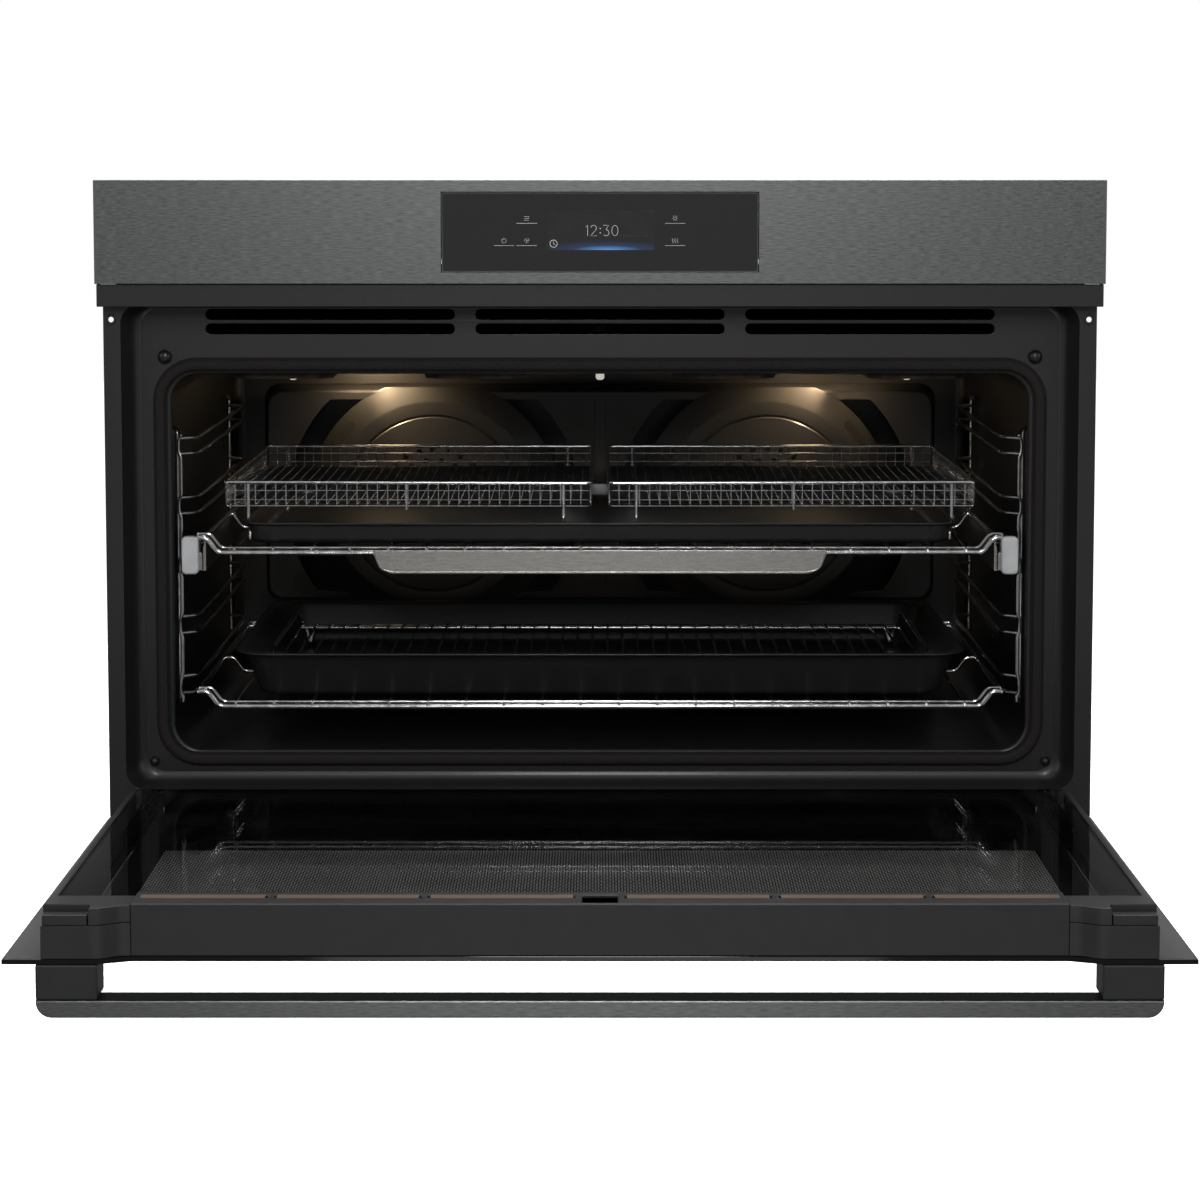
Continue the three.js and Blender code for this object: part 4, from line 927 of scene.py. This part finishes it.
def shelf(name, node, body, side, side_z, z):
    """A wire shelf with raised sides, a thin upper front wire and hooked cross wires."""
    lo, hi = cad(node)
    front, rear = lo.y + 2.5, hi.y - 2.5
    heavy, middle, light = 2.5, 2.2, 1.45
    foot, shoulder = 347.5, 357.5
    wires, pitch = 20, 35
    solid = Solid()

    def ends(y, toward):
        """From the low wire out and up to the raised side, at one end of the shelf."""
        rise = [(foot, y, z), (shoulder, y, side_z), (EAR, y, side_z), (EAR, y + toward * 7, side_z)]
        return rise if side == EAR else [*rise, (side, y + toward * 17, side_z)]

    outline = [*ends(front, 1), *reversed(ends(rear, -1))]
    left = [(-x, y, w) for x, y, w in reversed(outline)]
    solid.tube(filleted(outline + left, 4.5, 5, closed=True), heavy, 12, closed=True)
    up = 4.2
    for y, toward in ((front + 0.6, 1), (rear - 0.6, -1)):
        path = [(foot - 3.5, y, z + up), (shoulder - 3.5, y, side_z + up - 0.5),
                (EAR - 2, y, side_z + up - 0.5), (EAR - 1, y + toward * 4, side_z + 1)]
        solid.tube(filleted(with_left(path), 4, 5), light, 8)
    cross_y = 240
    path = [(foot, cross_y, z), (shoulder, cross_y, side_z), (side, cross_y, side_z)]
    solid.tube(filleted(with_left(path), 4, 5), middle, 10)
    for i in range(wires):
        x = (i - (wires - 1) / 2) * pitch
        path = [(x, front - 1.6, z + 0.6), (x, front - 0.6, z + up), (x, front + 5, z + 3.6),
                (x, rear - 5, z + 3.6), (x, rear + 0.6, z + up), (x, rear + 1.6, z + 0.6)]
        solid.tube(filleted(path, 2.2, 3), light, 6)
    solid.done(name, "chrome_wire", body, [node])


def runner_slide(solid):
    """The moving rail, with a lip along its top, and the block behind its end cap."""
    lo, hi = cad("runner_slide_right")
    bottom, lip, top = 243, 265.7, 270.6
    outline = [(lo.x, bottom), (lo.x + 2.6, bottom), (lo.x + 2.6, lip),
               (lo.x + 1.5, lip), (lo.x + 1.5, top), (lo.x, top)]
    solid.plate(outline, lo.y + 9, hi.y, edge=0.2)
    solid.plate(rounded(lo.x + 3, 371, 244, 260, 1, 3), lo.y + 4, lo.y + 12, edge=0.3)


def runner_cap(solid):
    """The pale end cap, rounded towards the front."""
    lo, hi = cad("runner_slide_right")
    inner, corner = 364.6, 4.2
    levels = []
    for draw, y in ((2.2, 0), (1.0, 0.35), (0.3, 1.1), (0, 2.2), (0, 8.4), (0.6, 9.4)):
        shape = rounded(inner + draw, hi.x - draw, lo.z + draw, hi.z - draw, corner - draw * 0.5)
        levels.append(at_depth(shape, lo.y + y))
    solid.loft(levels)


def hung_plate():
    """The steel plate under the upper shelf's front wire, with a wire round its lower edge."""
    lo, hi = cad("shelf_plate")
    top, low = hi.z, lo.z
    foot, bend, ear = 190, 200, 206
    corners = [(-foot, low), (foot, low), (bend, low + 4), (ear, top - 3), (ear, top),
               (-ear, top), (-ear, top - 3), (-bend, low + 4)]
    outline = filleted(corners, 5, 5, closed=True)
    solid = Solid().plate(outline, lo.y + 0.5, lo.y + 1.8, edge=0.35)
    half = [(foot - 1, low + 1.5), (bend - 0.5, low + 4.4), (ear - 1.4, top - 2)]
    rim = with_left([(x, lo.y + 1.6, z) for x, z in half])
    solid.tube(filleted(rim, 5, 5), 1.5, 10)
    solid.done("stainless_shelf_plate", "stainless", "upper_carriage", ["shelf_plate"])


def tray(name, node, body, slope, rim, corner):
    """A pressed tray with a rolled rim. Its sides slope in by slope."""
    lo, hi = cad(node)
    top, low, foot, sheet = hi.z, lo.z, rim + slope, 1.4

    def level(draw, z):
        shape = rounded(lo.x + draw, hi.x - draw, lo.y + draw, hi.y - draw, corner - draw * 0.4, 10)
        return [(u, v, z) for u, v in shape]

    outside = [(foot + 7, low), (foot + 3, low + 0.5), (foot + 0.6, low + 2.2), (foot - 0.6, low + 5),
               (rim + 0.4, top - 4), (rim - 0.6, top - 2.2), (1, top - 2), (0.2, top - 1.5), (0, top - 1)]
    inside = [(0.3, top - 0.4), (1.2, top), (rim - 0.4, top - 0.2), (rim + 1.2, top - 1.6),
              (rim + 1.9, top - 4), (foot + 0.9, low + 6), (foot + 2.2, low + 3.6),
              (foot + 4.6, low + 1.9), (foot + 8, low + sheet)]
    solid = Solid()
    solid.loft([level(draw, z) for draw, z in outside + inside])
    solid.done(name, "black_enamel", body, [node], sharp=60)


def between(start, end, count):
    """The places that part a length into count equal stretches, without its ends."""
    return [start + (end - start) * i / count for i in range(1, count)]


def wire_basket(solid):
    """Hoops, a mesh of light wires both ways, four legs and a stiffener on the front."""
    lo, hi = cad("basket_right")
    x0, x1, y0, y1 = lo.x + 1.2, hi.x - 1.2, lo.y + 1.2, hi.y - 1.2
    floor_z, rim_z, foot_z = 301.8, 323, 269.8
    pitch, light = 9.3, 0.5
    for z, radius, sides in ((rim_z, 1.75, 10), (floor_z, 0.7, 6), (307.4, light, 6), (315.9, light, 6)):
        path = [(u, v, z) for u, v in rounded(x0, x1, y0, y1, 4, 4)]
        solid.tube(path, radius, sides, closed=True)
    for x in between(x0, x1, round((x1 - x0) / pitch)):
        path = [(x, y0, rim_z), (x, y0, floor_z), (x, y1, floor_z), (x, y1, rim_z)]
        solid.tube(filleted(path, 2, 2), light, 5)
    upper_z = floor_z + 1.3
    for y in between(y0, y1, round((y1 - y0) / pitch)):
        path = [(x0, y, rim_z), (x0, y, upper_z), (x1, y, upper_z), (x1, y, rim_z)]
        solid.tube(filleted(path, 2, 2), light, 5)
    for x in (33.2, 320.5):
        for y, inward in ((y0 - 0.2, 13), (y1 + 0.2, -13)):
            path = [(x, y, rim_z), (x, y, 288), (x, y + inward, 280), (x, y + inward, foot_z)]
            solid.tube(filleted(path, 5), 1.5, 8)
    solid.tube([(176.5, y0 - 0.4, rim_z), (176.5, y0 - 0.4, 298.5)], 1.2, 8)


def trivet():
    """A roasting rack: three long wires, cross bars, a raised handle and two feet at each end."""
    lo, hi = cad("trivet")
    x0, x1, y0, y1 = lo.x + 4, hi.x - 4, lo.y + 2, hi.y - 2
    z, foot_z, inset_y = 145, 127.6, 10
    solid = Solid()
    for y in (y0, y1 - inset_y, y1):
        solid.tube([(x0 - 1, y, z), (x1 + 1, y, z)], 2, 10)
    bars = int((x1 - x0) / 14.5)
    for x in (x0, *between(x0, x1, bars), x1):
        path = [(x, y0 - 2, z + 0.4), (x, y0 + 1, z + 3), (x, y1 - 1, z + 3), (x, y1 + 2, z + 0.4)]
        solid.tube(filleted(path, 2, 3), 1.3, 6)
    lean, rise = 3, 18
    for side in (-1, 1):
        x = side * x1
        out = x + side * lean
        grip = [(x, y0, z), (out, y0 + 14, z + rise), (out, y1 - 14, z + rise), (x, y1, z)]
        solid.tube(filleted(grip, 7), 2, 10)
        for y in (y0, y1 - inset_y):
            foot = [(x - side * 12, y, z), (x - side * 8, y, foot_z), (x - side * 4, y, z)]
            solid.tube(filleted(foot, 6), 1.8, 8)
    solid.done("roasting_trivet", "chrome_wire", "trivet", ["trivet"])


# ---- door ----
def door_print():
    """What is printed on the inside of the outer pane: black borders, the dots and two fine lines."""
    back = cad("outer_glass", DOOR)[1].y
    near, far = back + 0.02, back + 0.14
    border = Solid().plate(rounded(-418, 418, 5.2, 438, 1, 2), near, far, edge=0.03)
    border.done("door_printed_border", "black_glass", "door", place=DOOR, skin="print_and_shade_black")
    margin = Solid().plate(rounded(418.4, 446.4, 5.2, 481.8, 1, 2), near, far, edge=0.03)
    margin.plate([(378, 439), (418.2, 439), (418.2, 481.8), (378, 481.8)], near, far, edge=0.03)
    margin.mirrored()
    margin.done("door_glass_margin", "black_glass", "door", place=DOOR, skin="black_plastic")
    field = Solid().plate(rounded(-374, 374, 152, 399, 3, 4), back + 0.15, back + 0.5, edge=0.05)
    field.done("door_dot_screen", "black_glass", "door", place=DOOR, skin="dots")
    lines = Solid()
    for inner, outer in ((-422.2, -421), (421, 422.2)):
        lines.plate(rounded(inner, outer, 40, 440, 0.4, 2), back + 0.05, back + 0.25, edge=0.05)
    lines.done("door_edge_lines", "black_glass", "door", place=DOOR, skin="white_mark")


def cap_end(solid):
    """The corner piece of the door's top cap: a face and a body behind it, with a notch at the end."""
    lo, hi = cad("door_cap_end_right", DOOR)
    start, end, low, top = lo.x, hi.x, lo.z, hi.z
    parting = 29.5
    swoop = [(0, 8.7), (6, 8.4), (12, 6), (17, 2.4), (23, 0.2), (29, 0)]
    rise = [(start + along, top - drop) for along, drop in reversed(swoop)]
    face = [(start, low), (end, low), (end, top - 13), (end - 34, top - 13), (end - 36, top - 11),
            (end - 36, top), *rise]
    solid.plate(face, parting + 0.1, hi.y, edge=1.0)
    behind = [(start, 452.6), (end, 452.6), (end, top), *rise]
    solid.plate(behind, lo.y, parting - 0.1, edge=0.5)
    notch = rounded(end - 35, end - 1, top - 12, top - 0.6, 1, 3)
    solid.plate(notch, parting, parting + 8, edge=0.8)


def paint_cap_slot_light():
    """Painted light: warm glowing strips inside the slots in the door's top cap, for their lit insides."""
    face = cad("door_top_cap", DOOR)[1].y
    solid = Solid()
    ribs, half_rib = (16, 132.6, 248.9, 352), 4.5
    for inner, outer in zip(ribs, ribs[1:]):
        slot = rounded(inner + half_rib, outer - half_rib, 446.6, 456.4, 0.6, 2)
        solid.plate(slot, face - 0.4, face + 0.15, edge=0.05)
    solid.mirrored()
    solid.done("cap_slot_painted_light", "black_plastic", "door", place=DOOR, skin="painted_warm_glow")


def handle():
    """The bar, with both ends of its front rounded."""
    lo, hi = cad("handle_bar", DOOR)
    corner = 12
    front = [*arc(lo.x + corner, lo.y + corner, corner, 180, 270, 12),
             *arc(hi.x - corner, lo.y + corner, corner, 270, 360, 12)]
    outline = [*front, (hi.x, hi.y), (lo.x, hi.y)]
    solid = Solid().plate(outline, lo.z, hi.z, edge=1.3, put=lying)
    solid.done("handle_grip", "dark_steel", "door", ["handle_bar"], DOOR)


# ---- casing ----
CASING_HI = cad("casing_wrap")[1]
CASING_BACK = cad("casing_rear")[1].y


def casing_ribs():
    """Shallow pressed panels on the sides and the top."""
    sunk, proud, edge = 0.2, 1.6, 1.5
    solid = Solid()
    for low, high in ((70, 190), (230, 350), (390, 470)):
        panel = rounded(110, 500, low, high, 22, 8)
        solid.plate(panel, CASING_HI.x - sunk, CASING_HI.x + proud, edge=edge, put=sideways)
    solid.mirrored()
    for left, right in ((-380, -140), (-110, 110), (140, 380)):
        panel = rounded(left, right, 300, 500, 18, 8)
        solid.plate(panel, CASING_HI.z - sunk, CASING_HI.z + proud, edge=edge, put=lying)
    solid.done("casing_ribs", "galvanised", "oven_body", sharp=60)


def casing_screws():
    """Round-headed screws with a dished top, along the casing's edges."""
    solid = Solid()

    def screw(centre, axis, out=1):
        head = [(3.6, 0), (3.6, 0.9), (3.1, 1.6), (1.7, 1.9), (1.5, 1.2), (0, 1.2)]
        solid.lathe([(radius, out * rise) for radius, rise in head], centre, 20, axis)

    for y in (60, 200, 340, 540):
        for z in (30, 560):
            screw((CASING_HI.x, y, z), "X")
            screw((-CASING_HI.x, y, z), "X", -1)
    for x in (-400, -200, 0, 200, 400):
        for z in (16, 575):
            screw((x, CASING_BACK, z), "Y")
        for y in (550, 60):
            screw((x, y, CASING_HI.z), "Z")
    solid.done("casing_screws", "stainless", "oven_body")


def rear_covers():
    """Louvred covers over the fan motors, the lips of the upper louvres and a plain panel."""
    solid = Solid()
    for side in (-1, 1):
        x = side * FAN_X
        louvres = []
        for i in range(6):
            z = FAN_Z - 30 + i * 12
            louvres.append(rounded(x - 30, x + 30, z - 2.5, z + 2.5, 2.4, 5))
        solid.plate(circle(x, FAN_Z, 72, 64), CASING_BACK + 0.05, CASING_BACK + 2.6, louvres, 1.1)
    for i in range(5):
        z = 476 + i * 18
        solid.tube([(-184, CASING_BACK + 0.9, z), (184, CASING_BACK + 0.9, z)], 1.4)
    solid.plate(rounded(-400, -250, 60, 130, 4, 5), CASING_BACK + 0.05, CASING_BACK + 0.5, edge=0.2)
    solid.done("rear_covers", "galvanised", "oven_body")


front_frame()
frame_screws()
gasket()
bumpers()
display()
cavity_walls()
fan_cover()
fan_cover_painted_shadows()
grill_clips()
left_and_right("side_rack_wires", side_rack, "chrome_wire", "oven_body", "side_rack")
left_and_right("telescopic_slide", runner_slide, "stainless", "upper_carriage", "runner_slide")
left_and_right("runner_end_cap", runner_cap, "pale_plastic", "upper_carriage")
shelf("upper_wire_shelf", "upper_shelf", "upper_carriage", side=361, side_z=273.5, z=260)
hung_plate()
tray("shallow_baking_tray", "shallow_tray", "shallow_tray", slope=3, rim=5, corner=26)
left_and_right("mesh_basket", wire_basket, "chrome_wire", "{side}_basket", "basket")
shelf("lower_wire_shelf", "lower_shelf", "lower_shelf", side=EAR, side_z=132, z=118.5)
tray("deep_roasting_tray", "deep_tray", "deep_tray", slope=12, rim=8, corner=34)
trivet()
door_print()
left_and_right("door_cap_corner", cap_end, "black_plastic", "door", "door_cap_end", DOOR)
paint_cap_slot_light()
handle()
casing_ribs()
casing_screws()
rear_covers()


# ---- floor, light and camera ----
def linked(obj):
    bpy.context.scene.collection.objects.link(obj)
    return obj


def floor():
    """A pale floor well below the oven, which is shown without its cabinet."""
    level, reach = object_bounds()[0].z - 0.45, 12
    corners = [(x * reach, y * reach, level) for x, y in ((-1, -1), (1, -1), (1, 1), (-1, 1))]
    mesh = bpy.data.meshes.new("floor")
    mesh.from_pydata(corners, [], [(0, 1, 2, 3)])
    mat = finish("pale_floor", grey(0.86), 0.8, Emission_Strength=1.0, Emission_Color=(1, 1, 1, 1))
    mesh.materials.append(tinted(mat, noise(mat, 3), grey(0.85), grey(0.88)))
    obj = linked(bpy.data.objects.new("floor", mesh))
    obj.visible_glossy = False
    obj.visible_diffuse = False
    obj.visible_transmission = False
    obj.visible_shadow = False
    obj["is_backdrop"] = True


def aimed(name, data, place, aim):
    """Puts a light in the scene, turned towards its aim."""
    obj = linked(bpy.data.objects.new(name, data))
    obj.location = place
    obj.rotation_euler = (Vector(aim) - Vector(place)).to_track_quat("-Z", "Y").to_euler()


def area_light(name, place, aim, size, power):
    data = bpy.data.lights.new(name, "AREA")
    data.shape = "RECTANGLE"
    data.size, data.size_y = size
    data.energy = power
    aimed(name, data, place, aim)


def lamp_light(name, place, aim, power, width):
    """The warm beam of a cavity lamp, width degrees across."""
    data = bpy.data.lights.new(name, "SPOT")
    data.energy = power
    data.color = (1.0, 0.70, 0.40)
    data.shadow_soft_size = 0.008
    data.spot_size = math.radians(width)
    data.spot_blend = 0.9
    aimed(name, data, OVEN @ Vector(place), OVEN @ Vector(aim))


def world():
    """White behind the object, and a soft grey all round it."""
    space = bpy.data.worlds.new("studio")
    bpy.context.scene.world = space
    space.use_nodes = True
    feed(space, space.node_tree.nodes["Background"].inputs["Color"], (1, 1, 1, 1))
    seen = space.node_tree.nodes["Background"].outputs[0]
    around = add_node(space, "Background", {"Color": (1, 1, 1, 1), "Strength": 0.2}).outputs[0]
    camera_ray = add_node(space, "LightPath", {}).outputs["Is Camera Ray"]
    mix = add_node(space, "MixShader", {"Fac": camera_ray, 1: around, 2: seen})
    feed(space, space.node_tree.nodes["World Output"].inputs["Surface"], mix.outputs[0])


def studio():
    """Soft light from the front, above, behind and both sides, and the two lit cavity lamps."""
    area_light("front_softbox", (0, -3.4, 1.75), (0, -0.3, 0.45), (0.45, 1.4), 29)
    area_light("low_softbox", (0, -3.2, -0.62), (0, -0.7, 0.0), (0.9, 0.55), 2.7)
    area_light("overhead_softbox", (0, -1.4, 2.8), (0, -0.3, 0.2), (3.0, 1.6), 5)
    area_light("rear_softbox", (0, 3.0, 2.1), (0, 0, 0.3), (1.5, 1.4), 90)
    area_light("top_softbox", (0, 0.9, 3.2), (0, 0.1, 0.6), (2.6, 1.6), 55)
    for side, word in ((-1, "left"), (1, "right")):
        area_light(f"{word}_strip", (side * 2.7, -2.4, 1.3), (0, -0.3, 0.3), (1.0, 1.6), 8)
        area_light(f"{word}_side_softbox", (side * 3.2, 0.6, 1.3), (0, 0.1, 0.3), (1.6, 1.6), 40)
    for side in (-1, 1):
        lens = (side * 246, 432, 411)
        lamp_light(f"cavity_lamp_{side}", lens, (side * 196, 462, 358), 1.45, 70)
        lamp_light(f"cavity_fill_{side}", lens, (side * 230, 520, 300), 0.85, 150)


def camera():
    """Straight in front, a little above the oven and tipped down."""
    tip_down = 4.70
    data = bpy.data.cameras.new("camera")
    data.lens = 87.0
    data.sensor_width = 36
    data.shift_y = -0.16
    eye = linked(bpy.data.objects.new("camera", data))
    eye.location = (0, -2.8656, 0.6072)
    eye.rotation_euler = (math.radians(90 - tip_down), 0, 0)
    bpy.context.scene.camera = eye


floor()
world()
studio()
camera()
bpy.context.scene.view_settings.view_transform = "Standard"
